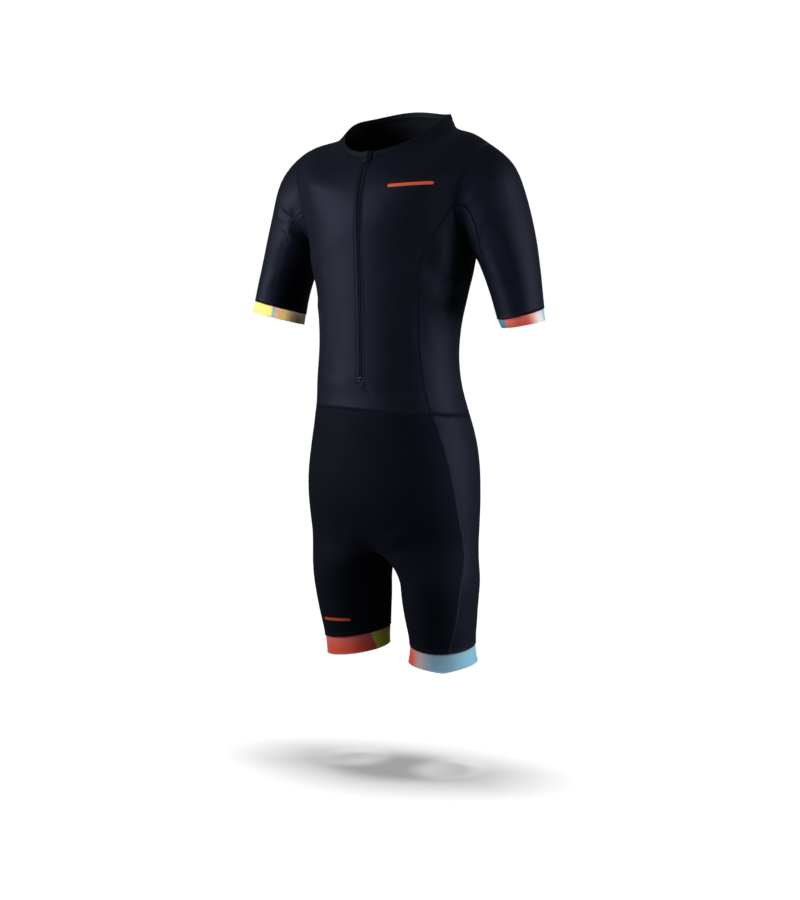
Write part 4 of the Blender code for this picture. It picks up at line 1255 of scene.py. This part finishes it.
def add_floor(studio):
    """A seamless floor that curves up behind the suit."""
    floor = min(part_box("leg_band_left")[0].z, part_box("leg_band_right")[0].z) - studio.floor_drop
    profile = [(FLOOR_FRONT, 0.0), (FLOOR_BACK, 0.0)]
    profile += [
        (FLOOR_BACK + BACKDROP_CURVE * math.sin(turn), BACKDROP_CURVE - BACKDROP_CURVE * math.cos(turn))
        for turn in (math.radians(6.0 * n) for n in range(1, 16))
    ]
    profile += [(FLOOR_BACK + BACKDROP_CURVE, BACKDROP_TOP)]
    shape = bmesh.new()
    rows = []
    sine, cosine = math.sin(studio.side), math.cos(studio.side)
    for along, up in profile:
        rows.append([
            shape.verts.new((cosine * aside - sine * along, cosine * along + sine * aside, floor + up))
            for aside in (-FLOOR_HALF, FLOOR_HALF)
        ])
    for lower, upper in zip(rows, rows[1:]):
        shape.faces.new((lower[0], lower[1], upper[1], upper[0]))
    paper = Finish("studio_paper", PAPER, 0.9)
    paper.set("Emission Color", (1.0, 1.0, 1.0, 1.0))
    up = paper.node("ShaderNodeSeparateXYZ", Vector=paper.node("ShaderNodeNewGeometry").outputs["Normal"])
    glow = paper.math("MULTIPLY_ADD", up.outputs["Z"], -BACKDROP_GLOW + FLOOR_GLOW, BACKDROP_GLOW)
    paper.set("Emission Strength", glow)
    paper.set("Normal", paper.bump(paper.noise(paper.place(), 90.0, 3.0), 0.0005, 0.1))
    made = new_object("studio_floor", shape, [paper.material])
    made.visible_diffuse = False
    made.visible_glossy = False
    return made


def lit_only(lamp, name, pieces):
    """Lets a lamp light those pieces and nothing else."""
    lit = bpy.data.collections.new(name)
    for piece in pieces:
        lit.objects.link(piece)
    lamp.light_linking.receiver_collection = lit


def add_lights(studio, floor):
    """Soft lights: a large one before the suit on its right, one behind its left arm, a narrow one before
    that arm, a weak one in front, a small one for the right cuff alone, and one above for the floor."""
    suit = [made for made in bpy.context.scene.objects if made.type == "MESH" and made is not floor]
    right_cuff = [bpy.data.objects["cuff_band_right_elastic"]]
    # side in degrees, distance and height; the lamp's width and height; the height that it is aimed at
    # and its spread in degrees; its power; the pieces that it lights
    for name, side, distance, height, width, tall, aim, spread, power, pieces in (
        ("studio_key", -48.0, 2.4, 0.20, 1.3, 1.3, -0.15, 60.0, studio.key, suit),
        ("studio_rim", 103.0, 2.2, -0.20, 1.2, 2.0, -0.42, 180.0, studio.rim, suit),
        ("studio_side", 66.0, 2.3, -0.45, 0.5, 1.2, -0.42, 180.0, studio.side_light, suit),
        ("studio_fill", 20.0, 3.2, 0.9, 1.2, 0.8, -0.42, 180.0, studio.fill, suit),
        ("studio_cuff", 20.0, 1.6, -0.75, 0.4, 0.4, -0.42, 180.0, studio.cuff, right_cuff),
    ):
        light = bpy.data.lights.new(name, "AREA")
        light.shape = "RECTANGLE"
        light.size, light.size_y, light.energy = width, tall, power
        light.spread = math.radians(spread)
        lamp = bpy.data.objects.new(name, light)
        bpy.context.scene.collection.objects.link(lamp)
        lamp.location = from_side(side, distance, height)
        aim = Vector((0.0, 0.0, aim)) - lamp.location
        lamp.rotation_euler = aim.to_track_quat("-Z", "Y").to_euler()
        lit_only(lamp, name + "_lit", pieces)
    sun = bpy.data.lights.new("studio_top", "SUN")
    sun.energy = studio.sun
    sun.angle = math.radians(15.0)
    lamp = bpy.data.objects.new("studio_top", sun)
    bpy.context.scene.collection.objects.link(lamp)
    lamp.location = (0.0, 0.0, 2.5)
    lit_only(lamp, "studio_top_lit", [floor])
    world = bpy.data.worlds.new("studio_sky")
    bpy.context.scene.world = world
    world.use_nodes = True
    sky = world.node_tree.nodes["Background"]
    sky.inputs["Color"].default_value = (1.0, 1.0, 1.0, 1.0)
    sky.inputs["Strength"].default_value = studio.sky


def add_camera(studio):
    camera = bpy.data.cameras.new("studio_camera")
    camera.lens = studio.lens
    camera.sensor_width = 36.0
    camera.dof.use_dof = False
    camera.clip_end = 60.0
    made = bpy.data.objects.new("studio_camera", camera)
    bpy.context.scene.collection.objects.link(made)
    made.location = from_side(math.degrees(studio.side), studio.distance, studio.height)
    level = Vector((-math.sin(studio.side), math.cos(studio.side), 0.0))
    aside = level.cross(Vector((0.0, 0.0, 1.0)))
    level = (level * math.cos(studio.turn) + aside * math.sin(studio.turn)).normalized()
    aim = level * math.cos(studio.pitch) - Vector((0.0, 0.0, math.sin(studio.pitch)))
    made.rotation_euler = aim.to_track_quat("-Z", "Y").to_euler()
    bpy.context.scene.camera = made


STEPS = (SUIT_OT_cloth, SUIT_OT_bands, SUIT_OT_binding, SUIT_OT_zip, SUIT_OT_stitching, SUIT_OT_stage)
GROUPS = {
    "suit_cloth": SuitCloth,
    "suit_zip": SuitZip,
    "suit_colours": SuitColours,
    "suit_studio": SuitStudio,
}


class SUIT_PT_panel(bpy.types.Panel):
    """Lists the suit's sizes, its colours and the steps that make it"""

    bl_label = "Triathlon suit"
    bl_idname = "SUIT_PT_panel"
    bl_space_type = "VIEW_3D"
    bl_region_type = "UI"
    bl_category = "Suit"

    def draw(self, context):
        for name in GROUPS:
            box = self.layout.box()
            settings = getattr(context.scene, name)
            for setting in settings.__annotations__:
                box.prop(settings, setting)
        for step in STEPS:
            self.layout.operator(step.bl_idname)


def register():
    for kind in (*GROUPS.values(), *STEPS, SUIT_PT_panel):
        bpy.utils.register_class(kind)
    for name, kind in GROUPS.items():
        setattr(bpy.types.Scene, name, PointerProperty(type=kind))


def unregister():
    for name in GROUPS:
        delattr(bpy.types.Scene, name)
    for kind in reversed((*GROUPS.values(), *STEPS, SUIT_PT_panel)):
        bpy.utils.unregister_class(kind)


def main():
    register()
    deselect_all()
    bpy.ops.suit.cloth()
    bpy.ops.suit.bands()
    bpy.ops.suit.binding()
    bpy.ops.suit.zip()
    bpy.ops.suit.stitching()
    bpy.ops.suit.stage()


if __name__ == "__main__":
    main()
